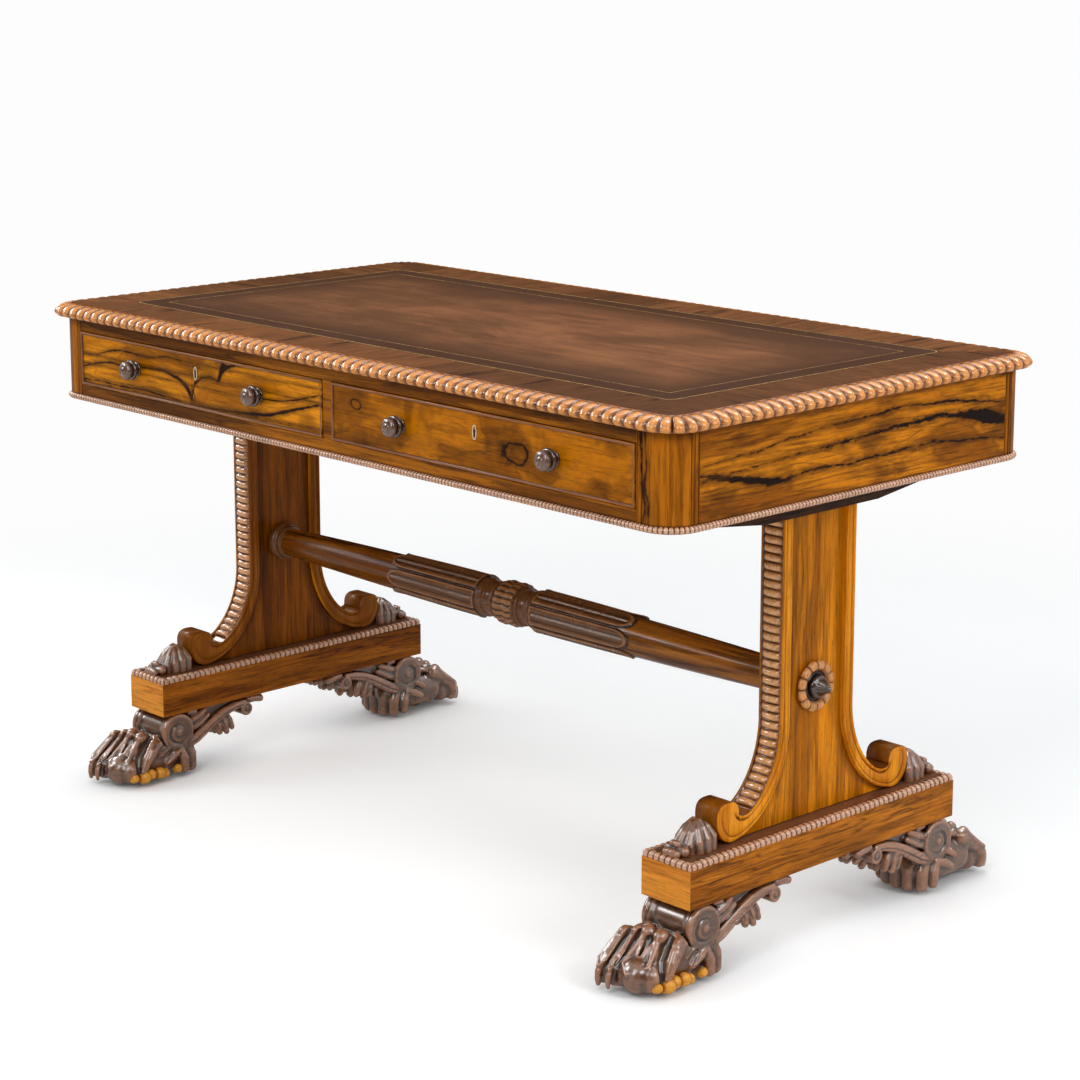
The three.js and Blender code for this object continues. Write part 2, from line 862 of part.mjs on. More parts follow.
// Feet. The foot is drawn for the end's own middle, with hand -1 for the drawer side and 1 for the back.
function pawBody() {
  // Place from heel to toe, half width, underside and top, each as a share of the whole.
  const stationShares = [
    [0, 0.46, 0.14, 0.58],
    [0.06, 0.55, 0.11, 0.64],
    [0.18, 0.68, 0.06, 0.66],
    [0.3, 0.85, 0.02, 0.72],
    [0.46, 0.97, 0, 0.92],
    [0.6, 1, 0, 1],
    [0.7, 0.99, 0, 0.98],
    [0.8, 0.95, 0, 0.86],
    [0.89, 0.88, 0, 0.7],
    [0.96, 0.76, 0.04, 0.52],
    [1, 0.6, 0.12, 0.4],
  ];
  const outlineAt = ([place, width, low, high]) => {
    const y = pawHeel + place * (pawToe - pawHeel);
    const halfX = (width * pawWidth) / 2;
    const halfZ = ((high - low) * pawHeight) / 2;
    const middleZ = footGap + ((high + low) * pawHeight) / 2;
    const outline = [];
    for (let i = 0; i < roundSteps; i++) {
      const angle = (2 * halfTurn * (i + 0.5)) / roundSteps;
      const [x, z] = [Math.cos(angle), Math.sin(angle)].map(
        (value) => Math.sign(value) * Math.abs(value) ** pawRoundnessShare,
      );
      outline.push(new THREE.Vector3(halfX * x, y, middleZ + halfZ * z));
    }
    return outline;
  };
  const rings = stationShares.map(outlineAt);
  return loft(rings, rings[0].map((point) => new THREE.Vector2(point.x, point.z)));
}

function pawToes() {
  const pitch = pawWidth / toeCount;
  const toes = [];
  for (let i = 0; i < toeCount; i++) {
    const toe = new THREE.SphereGeometry(1, toeSteps, toeSteps / 2);
    toe.scale(toeWidthShare * pitch, toeLength / 2, toeHeight / 2);
    toe.translate(
      (i - (toeCount - 1) / 2) * pitch,
      pawToe - toeLength / 2,
      footGap + toeHeight / 2,
    );
    toes.push(toe);
  }
  return toes;
}

// The bracket under the platform, in Y and Z: from the volute in to a small scroll, with a leaf hanging below.
function bracketShape(top) {
  const span = voluteCentre - bracketInnerReach;
  const leafShares = [
    [0, 0],
    [0, 0.28],
    [0.12, 0.34],
    [0.13, 0.54],
    [0.2, 0.7],
    [0.27, 0.78],
    [0.33, 0.92],
    [0.36, 1],
    [0.46, 0.88],
    [0.52, 0.76],
    [0.6, 0.62],
    [0.7, 0.72],
    [0.8, 0.9],
    [1, 0.9],
    [1, 0],
  ];
  return polygon(
    leafShares.map(([along, drop]) => [bracketInnerReach + along * span, top - drop * bracketDrop]),
  );
}

function castorWell() {
  const wheelEdge = castorTrail + castorWheelRadius;
  const sweepRadius = Math.hypot(wheelEdge, castorWheelWidth / 2) + castorWellRoom;
  const wellTop = castorPlateTop + castorPlateGap;
  const well = turned(
    [
      [0, footGap - cutOverrun],
      [sweepRadius, footGap - cutOverrun],
      [sweepRadius, wellTop],
      [0, wellTop],
    ],
    roundSteps,
  );
  const stemTop = castorPlateTop + castorStemLength + seat;
  const socket = turned(
    [
      [0, wellTop - cutOverrun],
      [castorStemRadius + seat, wellTop - cutOverrun],
      [castorStemRadius + seat, stemTop],
      [0, stemTop],
    ],
    smallRoundSteps,
  );
  return join(well, socket).translate(0, castorAxisReach, 0);
}

function makeFoot(sideX, hand) {
  const top = platformBottom - seat;
  const volute = turnedAlongX(
    [
      [0, -platformWidth / 2],
      [voluteRadius, -platformWidth / 2],
      [voluteRadius, -voluteRimShare * platformWidth],
      [voluteWaistShare * voluteRadius, 0],
      [voluteRadius, voluteRimShare * platformWidth],
      [voluteRadius, platformWidth / 2],
      [0, platformWidth / 2],
    ],
    roundSteps,
  ).translate(0, voluteCentre, top - voluteRadius);
  const bracket = extrudeAlongX(bracketShape(top), -bracketWidth / 2, bracketWidth / 2);
  const solid = cut(join(pawBody(), ...pawToes(), volute, bracket), castorWell());
  const turn = hand < 0 ? halfTurn : 0;
  return solid.rotateZ(turn).translate(sideX * endX, 0, 0);
}

// Castors, drawn about the swivel axis with the wheel trailing outwards.
const castorWheelTop = 2 * castorWheelRadius;
const castorPlateBottom = castorWheelTop + castorPlateGap;
const castorPlateTop = castorPlateBottom + castorPlateThickness;
const castorCheekInner = castorWheelWidth / 2 + castorSideRoom;
const castorCheekOuter = castorCheekInner + castorCheekThickness;

function placeCastor(geometry, sideX, hand) {
  const turn = hand < 0 ? halfTurn : 0;
  return geometry.translate(0, castorAxisReach, 0).rotateZ(turn).translate(sideX * endX, 0, 0);
}

function makeCastorFork(sideX, hand) {
  const stem = turned(
    [
      [0, castorPlateBottom],
      [castorPlateRadius, castorPlateBottom],
      [castorPlateRadius, castorPlateTop],
      [castorStemRadius, castorPlateTop],
      [castorStemRadius, castorPlateTop + castorStemLength],
      [0, castorPlateTop + castorStemLength],
    ],
    smallRoundSteps,
  );
  const cheekShape = new THREE.Shape();
  cheekShape.moveTo(-castorPlateRadius / 2, castorPlateBottom + castorPlateThickness / 2);
  cheekShape.lineTo(-castorPlateRadius / 2, castorPlateBottom);
  cheekShape.lineTo(castorTrail - castorCheekRadius, castorWheelRadius);
  cheekShape.absarc(castorTrail, castorWheelRadius, castorCheekRadius, halfTurn, 2 * halfTurn, false);
  cheekShape.lineTo(castorPlateRadius / 2, castorPlateBottom + castorPlateThickness / 2);
  const bore = turnedAlongX(
    [
      [0, -castorCheekOuter - cutOverrun],
      [castorAxleRadius + seat, -castorCheekOuter - cutOverrun],
      [castorAxleRadius + seat, castorCheekOuter + cutOverrun],
      [0, castorCheekOuter + cutOverrun],
    ],
    smallRoundSteps,
  ).translate(0, castorTrail, castorWheelRadius);
  const cheeks = [-1, 1].map((cheek) =>
    extrudeAlongX(
      cheekShape,
      cheek < 0 ? -castorCheekOuter : castorCheekInner,
      cheek < 0 ? -castorCheekInner : castorCheekOuter,
    ),
  );
  return placeCastor(cut(join(stem, ...cheeks), bore), sideX, hand);
}

function makeCastorWheel(sideX, hand) {
  const tread = castorWheelWidth / 2;
  const wheel = turnedAlongX(
    [
      [0, -castorCheekOuter],
      [castorAxleRadius, -castorCheekOuter],
      [castorAxleRadius, -tread],
      [castorWheelRadius - castorWheelCrown, -tread],
      [castorWheelRadius, -tread + castorWheelCrown],
      [castorWheelRadius, tread - castorWheelCrown],
      [castorWheelRadius - castorWheelCrown, tread],
      [castorAxleRadius, tread],
      [castorAxleRadius, castorCheekOuter],
      [0, castorCheekOuter],
    ],
    fineRoundSteps,
  ).translate(0, castorTrail, castorWheelRadius);
  return placeCastor(wheel, sideX, hand);
}

// Assembly
add("top_board", makeTopBoard(), rosewood());
add("writing_leather", makeLeather(), leather());
for (const side of ["front", "back", "left", "right"]) {
  add(`gadroon_${side}`, makeGadroon(side), gadroonWood());
}

add("frieze_top_rail", makeTopRail(), rosewood());
add("frieze_bottom_rail", makeBottomRail(), rosewood());
add("frieze_muntin", makeMuntin(), rosewood());
add("frieze_back_board", makeBackBoard(), rosewood());
add("drawer_runner_centre", makeCentreRunner(), drawerLining());

const hands = [
  ["left", -1],
  ["right", 1],
];
const depths = [
  ["front", -1],
  ["back", 1],
];

for (const [end, side] of hands) {
  add(`end_panel_${end}`, makeEndPanel(side), rosewood());
  add(`drawer_runner_${end}`, makeSideRunner(side), drawerLining());
  add(`drawer_${end}_front`, makeDrawerFront(side), rosewood());
  add(`drawer_${end}_back`, makeDrawerBack(side), drawerLining());
  add(`drawer_${end}_bottom`, makeDrawerBottom(side), drawerLining());
  for (const [name, hand] of hands) {
    add(`drawer_${end}_side_${name}`, makeDrawerSide(side, hand), drawerLining());
    add(`drawer_${end}_knob_${name}`, makeKnob(side * drawerCentreX + hand * knobOffset), carvedRosewood());
  }
  add(`drawer_${end}_escutcheon`, makeEscutcheon(side), paleInlay());
  add(`drawer_${end}_lock_case`, makeLockCase(side), brass());
  add(`drawer_${end}_lock_bolt`, makeLockBolt(side), brass());
  add(`bearer_${end}`, makeBearer(side), bearerWood());
  add(`upright_${end}`, makeUpright(side), rosewood());
  add(`platform_${end}`, makePlatform(side), rosewood());
  add(`patera_${end}`, makePatera(side), carvedRosewood());
  for (const [name, hand] of depths) {
    add(`corner_post_${name}_${end}`, makePost(side, hand), rosewood());
    add(`foot_${name}_${end}`, makeFoot(side, hand), carvedRosewood());
    add(`castor_fork_${name}_${end}`, makeCastorFork(side, hand), castorIron());
    add(`castor_wheel_${name}_${end}`, makeCastorWheel(side, hand), castorIron());
  }
}
add("stretcher", makeStretcher(), rosewood());

export default model;
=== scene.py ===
import bmesh
import bpy
import math
import numpy as np
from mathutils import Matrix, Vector


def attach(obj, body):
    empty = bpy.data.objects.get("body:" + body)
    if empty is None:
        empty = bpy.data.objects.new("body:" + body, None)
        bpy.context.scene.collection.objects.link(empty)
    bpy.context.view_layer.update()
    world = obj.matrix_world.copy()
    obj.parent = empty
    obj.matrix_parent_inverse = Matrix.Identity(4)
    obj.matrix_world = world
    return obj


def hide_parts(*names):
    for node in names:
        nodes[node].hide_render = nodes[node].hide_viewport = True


# Lengths below are millimetres unless a name says otherwise; makePiece turns them into metres.
mm = 0.001
turn = 2 * math.pi

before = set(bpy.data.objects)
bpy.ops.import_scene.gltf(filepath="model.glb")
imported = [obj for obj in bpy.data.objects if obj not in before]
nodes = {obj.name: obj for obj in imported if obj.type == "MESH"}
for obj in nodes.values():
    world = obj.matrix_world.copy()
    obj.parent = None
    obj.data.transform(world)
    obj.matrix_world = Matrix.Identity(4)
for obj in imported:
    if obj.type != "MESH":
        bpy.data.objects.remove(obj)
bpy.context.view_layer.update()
print("frame loaded:", len(nodes), "solids")


# finishes: a value is a socket that adds and scales as a number does

class Value:
    def __init__(self, socket):
        self.socket = socket
        self.tree = socket.id_data

    def __add__(self, other):
        return maths("ADD", self, other)

    def __sub__(self, other):
        return maths("SUBTRACT", self, other)

    def __rsub__(self, other):
        return maths("SUBTRACT", other, self)

    def __mul__(self, other):
        return maths("MULTIPLY", self, other)

    def __truediv__(self, other):
        return maths("DIVIDE", self, other)

    def __pow__(self, other):
        return maths("POWER", self, other)

    def __rpow__(self, other):
        return maths("POWER", other, self)

    def __abs__(self):
        return maths("ABSOLUTE", self)

    def remap(self, low, high, toLow=0.0, toHigh=1.0, kind="SMOOTHSTEP"):
        places = {"Value": self, "From Min": low, "From Max": high, "To Min": toLow, "To Max": toHigh}
        return node(self.tree, "MapRange", places, interpolation_type=kind)

    def ramp(self, stops):
        # stops are (place, grey)
        made = node(self.tree, "ValToRGB", {0: self})
        band = made.socket.node.color_ramp
        while len(band.elements) < len(stops):
            band.elements.new(0.5)
        for element, (place, grey) in zip(band.elements, stops):
            element.position = place
            element.color = (grey, grey, grey, 1)
        return made

    def noise(self, scale, detail=3.0, roughness=0.55, distortion=0.0, output=0):
        values = {"Vector": self, "Scale": scale, "Detail": detail, "Roughness": roughness,
                  "Distortion": distortion}
        return node(self.tree, "TexNoise", values, output)

    def swing(self, amount):
        # turns a noise into a wander to both sides of zero
        return (self - 0.5) * amount

    def vector(self, operation, other):
        return node(self.tree, "VectorMath", {0: self, 1: other}, operation=operation)

    def stretch(self, along, across, through):
        return self.vector("MULTIPLY", (along, across, through))

    def split(self):
        parts = node(self.tree, "SeparateXYZ", {0: self})
        return [Value(part) for part in parts.socket.node.outputs]


def node(tree, kind, inputs, output=0, **settings):
    made = tree.nodes.new("ShaderNode" + kind)
    for key, value in settings.items():
        setattr(made, key, value)
    for key, value in inputs.items():
        if isinstance(value, Value):
            tree.links.new(value.socket, made.inputs[key])
        else:
            made.inputs[key].default_value = value
    return Value(made.outputs[output]) if made.outputs else None


def maths(operation, *values, clamp=False):
    tree = next(value.tree for value in values if isinstance(value, Value))
    return node(tree, "Math", dict(enumerate(values)), operation=operation, use_clamp=clamp)


def join(*parts):
    return node(parts[0].tree, "CombineXYZ", dict(enumerate(parts)))


def choose(share, first, second):
    return node(share.tree, "Mix", {0: share, 2: first, 3: second}, data_type="FLOAT")


def tone(colour):
    # a colour in 0 to 255, as a paint chart gives it; values pass through
    if isinstance(colour, Value):
        return colour
    shares = [part / 255 for part in colour]
    return (*[part / 12.92 if part <= 0.04045 else ((part + 0.055) / 1.055) ** 2.4 for part in shares], 1)


def mix(tree, factor, first, second, blend="MIX"):
    inputs = {0: factor, 6: tone(first), 7: tone(second)}
    return node(tree, "Mix", inputs, 2, data_type="RGBA", blend_type=blend)


def mark(tree, name):
    # the "hollow" value (painted shade) or "crest" value (wear and painted highlight) that a piece carries at
    # each of its points
    return node(tree, "Attribute", {}, 2, attribute_name=name)


def objectPlace(tree):
    return node(tree, "TexCoord", {}, 3)


def grainPlace(tree, axis, shift=(0, 0, 0)):
    # object coordinates with the grain turned to run along the first of them
    parts = objectPlace(tree).split()
    order = {"X": (0, 1, 2), "Y": (1, 0, 2), "Z": (2, 0, 1)}[axis]
    return join(*[parts[n] for n in order]).vector("ADD", shift), parts


def newFinish(name):
    material = bpy.data.materials.new(name)
    material.use_nodes = True
    material.node_tree.nodes.clear()
    return material, material.node_tree


def closeFinish(tree, colour, roughness, bumps, specular=0.3, metal=0.0, coat=0.0):
    # bumps are (height, depth in millimetres)
    normal = {}
    for height, depth in bumps:
        values = {"Height": height, "Distance": depth * mm, "Strength": 1.0}
        normal = {"Normal": node(tree, "Bump", {**values, **normal})}
    values = {"Base Color": colour, "Roughness": roughness, "Specular IOR Level": specular,
              "Metallic": metal, "Coat Weight": coat, "Coat Roughness": 0.12}
    node(tree, "OutputMaterial", {"Surface": node(tree, "BsdfPrincipled", {**values, **normal})})


# rosewood

# painted shade browns the faces that look inward under the top
innerShade = {"line": 553.5, "amount": 1.0, "tint": (168, 158, 196)}
bandShade = {"line": 535.8, "amount": 1.0, "tint": (168, 158, 196)}
platformShade = {"line": 553.5, "amount": 0.7, "tint": (224, 216, 245)}
# veins are drawn dark streaks: their middle and half width at shares along a span of the board
endSpan = {"alongAxis": 1, "from": -294, "to": 294, "low": 604, "high": 722, "wander": (1, 9, 14),
           "raggedness": (1, 60, 260)}
endVeins = (
    {"middle": ((0.0, 0.52), (0.12, 0.38), (0.22, 0.29), (0.33, 0.32), (0.5, 0.335), (0.74, 0.36),
                (1.0, 0.25)),
     "width": ((0.0, 0.012), (0.1, 0.035), (0.2, 0.045), (0.3, 0.01), (0.6, 0.008), (0.8, 0.012),
               (1.0, 0.006)),
     "wander": 0.16, "fray": 0.1, "soft": 0.012},
    {"middle": ((0.0, 0.45), (0.36, 0.53), (0.5, 0.58), (0.62, 0.6), (0.78, 0.63), (0.88, 0.58), (1.0, 0.46)),
     "width": ((0.0, 0.0), (0.3, 0.0), (0.45, 0.014), (0.6, 0.02), (0.82, 0.03), (0.92, 0.085), (1.0, 0.05)),
     "wander": 0.16, "fray": 0.12, "soft": 0.012},
    {"middle": ((0.0, 0.6), (0.3, 0.72), (0.6, 0.8), (0.8, 0.78), (1.0, 0.66)),
     "width": ((0.0, 0.0), (0.35, 0.004), (0.7, 0.012), (0.9, 0.012), (1.0, 0.0)),
     "wander": 0.14, "fray": 0.08, "soft": 0.01},
)

drawerSpan = {"alongAxis": 0, "from": -576.5, "to": -10.5, "low": 623.5, "high": 701.8, "wander": (12, 1, 30),
              "raggedness": (70, 1, 240)}
drawerVeins = (
    {"middle": ((0.0, 0.34), (0.063, 0.45), (0.127, 0.527), (0.216, 0.51), (0.287, 0.559), (0.365, 0.574),
                (0.425, 0.5), (0.458, 0.384), (0.474, 0.252), (0.49, 0.12)),
     "width": ((0.0, 0.01), (0.12, 0.018), (0.29, 0.02), (0.37, 0.028), (0.42, 0.03), (0.45, 0.05),
               (0.475, 0.08), (0.49, 0.0)),
     "wander": 0.07, "fray": 0.05, "soft": 0.014},
    {"middle": ((0.0, 0.585), (0.064, 0.6), (0.129, 0.74), (0.174, 0.79), (0.245, 0.78), (0.306, 0.765),
                (0.376, 0.84), (0.444, 0.83)),
     "width": ((0.0, 0.008), (0.15, 0.012), (0.3, 0.012), (0.44, 0.004), (0.46, 0.0)),
     "wander": 0.07, "fray": 0.06, "soft": 0.012},
    {"middle": ((0.483, 0.17), (0.492, 0.45), (0.526, 0.594), (0.559, 0.643), (0.596, 0.587)),
     "width": ((0.476, 0.0), (0.484, 0.07), (0.5, 0.022), (0.55, 0.012), (0.59, 0.012), (0.6, 0.0)),
     "wander": 0.04, "fray": 0.04, "soft": 0.012},
    {"middle": ((0.59, 0.6), (0.6, 0.72), (0.61, 0.85), (0.63, 0.88), (0.667, 0.95), (0.72, 0.975),
                (0.79, 0.98)),
     "width": ((0.585, 0.0), (0.592, 0.04), (0.602, 0.12), (0.612, 0.1), (0.63, 0.035), (0.67, 0.015),
               (0.79, 0.0)),
     "wander": 0.04, "fray": 0.05, "soft": 0.014},
    {"middle": ((0.5, 0.06), (0.606, 0.089), (0.719, 0.13), (0.798, 0.203), (0.877, 0.341), (0.984, 0.542)),
     "width": ((0.49, 0.0), (0.53, 0.008), (0.6, 0.014), (0.75, 0.032), (0.9, 0.026), (1.0, 0.012)),
     "wander": 0.06, "fray": 0.06, "soft": 0.014},
    {"middle": ((0.72, 0.42), (0.846, 0.487), (0.901, 0.558), (0.985, 0.709)),
     "width": ((0.72, 0.0), (0.78, 0.008), (0.9, 0.014), (1.0, 0.008)),
     "wander": 0.06, "fray": 0.06, "soft": 0.01},
    {"middle": ((0.0, 0.1), (0.1, 0.13), (0.21, 0.115), (0.3, 0.13), (0.37, 0.1), (0.44, 0.08)),
     "width": ((0.0, 0.006), (0.2, 0.012), (0.35, 0.014), (0.44, 0.0)),
     "wander": 0.08, "fray": 0.06, "soft": 0.01},
)
# the burr that climbs the near post: along is the height here
postSpan = {"alongAxis": 2, "acrossAxis": 0, "from": 606, "to": 720, "low": 577.5, "high": 636,
            "wander": (14, 1, 16), "raggedness": (200, 1, 80)}
postVeins = (
    {"middle": ((0.0, 0.2), (0.2, 0.26), (0.4, 0.2), (0.62, 0.14), (1.0, 0.12)),
     "width": ((0.0, 0.008), (0.2, 0.03), (0.36, 0.06), (0.5, 0.02), (0.62, 0.01), (1.0, 0.03)),
     "wander": 0.2, "fray": 0.16, "soft": 0.02},
    {"middle": ((0.0, 0.36), (0.25, 0.34), (0.45, 0.24), (0.6, 0.3), (1.0, 0.26)),
     "width": ((0.0, 0.0), (0.12, 0.012), (0.4, 0.02), (0.6, 0.006), (1.0, 0.0)),
     "wander": 0.2, "fray": 0.14, "soft": 0.014},
)
# painted shadow under the gadroon and in the corner above the pearls: height where it is darkest, height
# where it ends, amount
friezeShadowPaint = ((721.7, 706, 0.5), (721.7, 717.5, 0.9), (605.5, 609.5, 0.85))

# figure: how fine the flow of the wood is; stretch and drift: how long and how wavy it runs
# lines: contour lines drawn in the flow; clouds and patches: soft brown and near black areas
# dips bend the grain (along, rise, width) and knots are closed rings (along, up, half widths)
# smudges are brown clouds (along, up, half widths, amount); honey, amber and dark are the wood's colours
rosewoodLooks = {
    "drawer_left": {"axis": "X", "shift": (0.0, 0.0, 0.0), "stretch": 0.2, "drift": 0.6, "driftScale": 7,
                    "veins": drawerVeins, "span": drawerSpan,
                    "figure": 21, "lines": 5, "lineDepth": 0.6, "clouds": 0.55, "patches": 0.4, "grain": 0.4,
                    "honey": (244, 152, 18), "amber": (182, 106, 4), "dark": (38, 16, 2),
                    "dips": ((-300, -34, 62), (-262, 16, 30)), "knots": ((-302, 639, 6, 9),),
                    "smudges": ((-288, 684, 46, 17, 0.5), (-303, 655, 2.4, 20, 0.9),
                                (-236, 694, 14, 12, 0.75), (-180, 640, 60, 14, 0.35),
                                (-40, 640, 26, 22, 0.5), (-440, 690, 60, 10, 0.4))},
    "drawer_right": {"axis": "X", "shift": (0.0, 0.0, 0.0), "stretch": 0.42, "drift": 0.75, "driftScale": 9,
                     "figure": 17, "lines": 3, "lineDepth": 0.35, "clouds": 0.55, "patches": 0.2,
                     "grain": 0.4,
                     "honey": (204, 120, 6), "amber": (150, 84, 1), "dark": (28, 12, 2),
                     "dips": ((369, 20, 40), (150, -18, 40)),
                     "knots": ((369, 659, 23, 14), (61, 679, 11, 7)),
                     "smudges": ((166, 686, 12, 26, 0.55), (320, 680, 26, 6, 0.6), (345, 668, 12, 5, 0.55),
                                 (542, 690, 26, 15, 0.5), (514, 638, 26, 13, 0.5), (120, 636, 60, 10, 0.45),
                                 (250, 645, 50, 12, 0.3))},
    "rail": {"axis": "X", "shift": (1.7, 0.4, 0.9), "stretch": 0.05, "drift": 0.25, "driftScale": 5,
             "paintedShadow": friezeShadowPaint,
             "figure": 60, "lines": 2, "lineDepth": 0.6, "clouds": 0.7, "patches": 0.5, "grain": 0.5,
             "honey": (180, 106, 16), "amber": (130, 72, 6), "dark": (34, 15, 4)},
    "end_panel": {"axis": "Y", "shift": (2.3, 0.2, 0.35), "stretch": 0.2, "drift": 0.55, "driftScale": 8,
                  "veins": endVeins, "span": endSpan, "paintedShadow": friezeShadowPaint,
                  "figure": 22, "lines": 3, "lineDepth": 0.34, "clouds": 0.75, "patches": 0.0, "grain": 0.6,
                  "honey": (220, 132, 16), "amber": (152, 84, 4), "dark": (26, 10, 2)},
    "post": {"axis": "Z", "shift": (0.8, 1.3, 0.2), "stretch": 0.08, "drift": 0.2, "driftScale": 5,
             "veins": postVeins, "span": postSpan, "paintedShadow": friezeShadowPaint,
             "figure": 70, "lines": 2, "lineDepth": 0.45, "clouds": 0.5, "patches": 0.3, "grain": 0.5,
             "honey": (190, 110, 12), "amber": (146, 80, 5), "dark": (44, 18, 3)},
    "upright": {"axis": "Z", "shift": (3.1, 0.6, 0.45), "stretch": 0.055, "drift": 0.3, "driftScale": 4,
                "shade": innerShade,
                "figure": 40, "lines": 3, "lineDepth": 0.4, "clouds": 0.6, "patches": 0.3, "grain": 0.55,
                "honey": (246, 150, 14), "amber": (194, 110, 3), "dark": (62, 28, 2)},
    "band": {"axis": "Z", "shift": (0.2, 2.6, 1.45), "stretch": 0.05, "drift": 0.2, "driftScale": 3,
             "shade": bandShade,
             "figure": 40, "lines": 2, "lineDepth": 0.25, "clouds": 0.35, "patches": 0.0, "grain": 0.35,
             "honey": (250, 160, 34), "amber": (222, 130, 18), "dark": (96, 46, 8)},
    "platform": {"axis": "Y", "shift": (1.2, 0.9, 3.3), "stretch": 0.07, "drift": 0.45, "driftScale": 6,
                 "shade": platformShade,
                 "figure": 52, "lines": 5, "lineDepth": 0.7, "clouds": 0.5, "patches": 0.6, "grain": 0.65,
                 "honey": (206, 122, 26), "amber": (156, 86, 12), "dark": (32, 14, 4)},
    "platform_end": {"axis": "X", "shift": (2.2, 0.1, 1.3), "stretch": 0.1, "drift": 0.3, "driftScale": 8,
                     "figure": 50, "lines": 3, "lineDepth": 0.45, "clouds": 0.4, "patches": 0.15,
                     "grain": 0.45,
                     "honey": (250, 162, 58), "amber": (222, 134, 42), "dark": (92, 46, 14)},
    "pole": {"axis": "X", "shift": (0.5, 0.7, 2.1), "stretch": 0.045, "drift": 0.3, "driftScale": 6,
             "gloss": 0.18, "specular": 0.25,
             "figure": 32, "lines": 3, "lineDepth": 0.6, "clouds": 0.75, "patches": 0.6, "grain": 0.5,
             "honey": (186, 112, 30), "amber": (128, 70, 14), "dark": (34, 15, 6)},
}


def bendGrain(turned, look):
    # the grain swings round a knot: its height follows the dips
    along, across, rise = turned.split()
    for middle, lift, width in look.get("dips", ()):
        rise = rise - 0.37 ** (abs(along - middle * mm) / (width * mm)) * (lift * mm)
    return join(along, across, rise)


def ovalDistance(turned, along, up, wide, tall):
    # 0 in the middle of an oval drawn on the board and 1 on its edge
    parts = turned.split()
    across = (parts[0] - along * mm) / (wide * mm)
    rise = (parts[2] - up * mm) / (tall * mm)
    return maths("SQRT", across * across + rise * rise)


knotShades = ((0.0, 0.2), (0.06, 0.06), (0.2, 0.0), (0.37, 0.2), (0.44, 1.0), (0.49, 0.9), (0.56, 0.25),
              (0.75, 0.08), (1.0, 0.0))


def knotRings(turned, knot):
    # a wavering dark ring with a warm heart
    far = ovalDistance(turned, *knot) + turned.noise(62, 2).swing(0.9)
    return maths("MULTIPLY", far, 0.5, clamp=True).ramp(knotShades)


def smudge(turned, place):
    # a soft brown cloud with a ragged edge
    *oval, amount = place
    ragged = turned.stretch(0.5, 1, 1).noise(90, 4, 0.65).swing(1.5)
    return (ovalDistance(turned, *oval) + ragged).remap(0.35, 1.05, amount, 0.0)


def rosewoodFigure(tree, turned, look):
    honey, amber, dark = look["honey"], look["amber"], look["dark"]
    brown = mix(tree, 0.4, dark, amber)
    long = bendGrain(turned, look).vector("ADD", look["shift"]).stretch(look["stretch"], 1, 1)
    drift = long.noise(look["driftScale"], 2, output=1).vector("SUBTRACT", (0.5, 0.5, 0.5))
    flowing = long.vector("ADD", drift.vector("MULTIPLY", (look["drift"] / look["driftScale"],) * 3))
    figure = flowing.noise(look["figure"], 3, 0.55)
    broad = flowing.noise(look["figure"] * 0.4, 3, 0.55)
    colour = mix(tree, figure.remap(0.36, 0.6), amber, honey)
    cloudy = long.stretch(1.6, 1, 1).noise(30, 4, 0.62)
    colour = mix(tree, cloudy.remap(0.47, 0.68, 0.0, look["clouds"]), colour, brown)
    # contour lines of the flow, thin and coming and going
    level = maths("FRACT", figure * (look["lines"] * 2.2))
    line = (abs(level - 0.5) * 2).remap(0.6, 0.98) * broad.remap(0.36, 0.62, 0.15, 1.0)
    colour = mix(tree, line * look["lineDepth"], colour, dark)
    ragged = long.noise(160, 3, 0.6)
    colour = mix(tree, (broad + ragged * 0.12).remap(0.63, 0.72) * look["patches"], colour, dark)
    for place in look.get("smudges", ()):
        colour = mix(tree, smudge(turned, place), colour, brown)
    for knot in look.get("knots", ()):
        colour = mix(tree, knotRings(turned, knot), colour, dark)
    fine = turned.stretch(12, 300, 300).noise(1.0, 4, 0.65)
    colour = mix(tree, fine.remap(0.42, 0.7, 0.0, look["grain"]), colour, dark)
    pore = turned.stretch(70, 1300, 1300).noise(1.0, 1, 0.5).remap(0.6, 0.74)
    return mix(tree, pore * 0.5, colour, dark), pore, fine


def rosewood(name, look):
    material, tree = newFinish("rosewood_" + name)
    turned, parts = grainPlace(tree, look["axis"])
    colour, pore, fine = rosewoodFigure(tree, turned, look)
    dark = look["dark"]
    for vein in look.get("veins", ()):
        core, halo = veinMask(parts, look["span"], vein)
        colour = mix(tree, halo, colour, [0.55 * part for part in look["amber"]])
        colour = mix(tree, core, colour, dark)
    # painted shade on the faces that look inward under the top
    if "shade" in look:
        shade = look["shade"]
        line, blur = shade["line"] * mm, 2 * mm
        inner = abs(parts[0]).remap(line - blur, line + blur, shade["amount"], 0.0)
        colour = mix(tree, inner, colour, mix(tree, 1.0, colour, shade["tint"], "MULTIPLY"))
    # painted shadow by height: under the gadroon and in the corner above the pearls
    for darkest, end, amount in look.get("paintedShadow", ()):
        dirt = abs(parts[2] - darkest * mm).remap(0.0, abs(end - darkest) * mm, amount, 0.0)
        colour = mix(tree, dirt, colour, [0.6 * part for part in dark])
    # painted shade in the grooves and recesses, from the hollow mark of each piece
    colour = mix(tree, mark(tree, "hollow") * 0.85, colour, dark)
    # fine rubbing marks in the polish, run one way with the grain
    scratches = turned.stretch(9, 260, 260).noise(1.0, 2).remap(0.58, 0.72)
    gloss = look.get("gloss", 0.24)
    closeFinish(tree, colour, fine.remap(0.3, 0.7, gloss, gloss + 0.12), [(pore, -0.015), (scratches, 0.004)],
                specular=look.get("specular", 0.08))
    return material


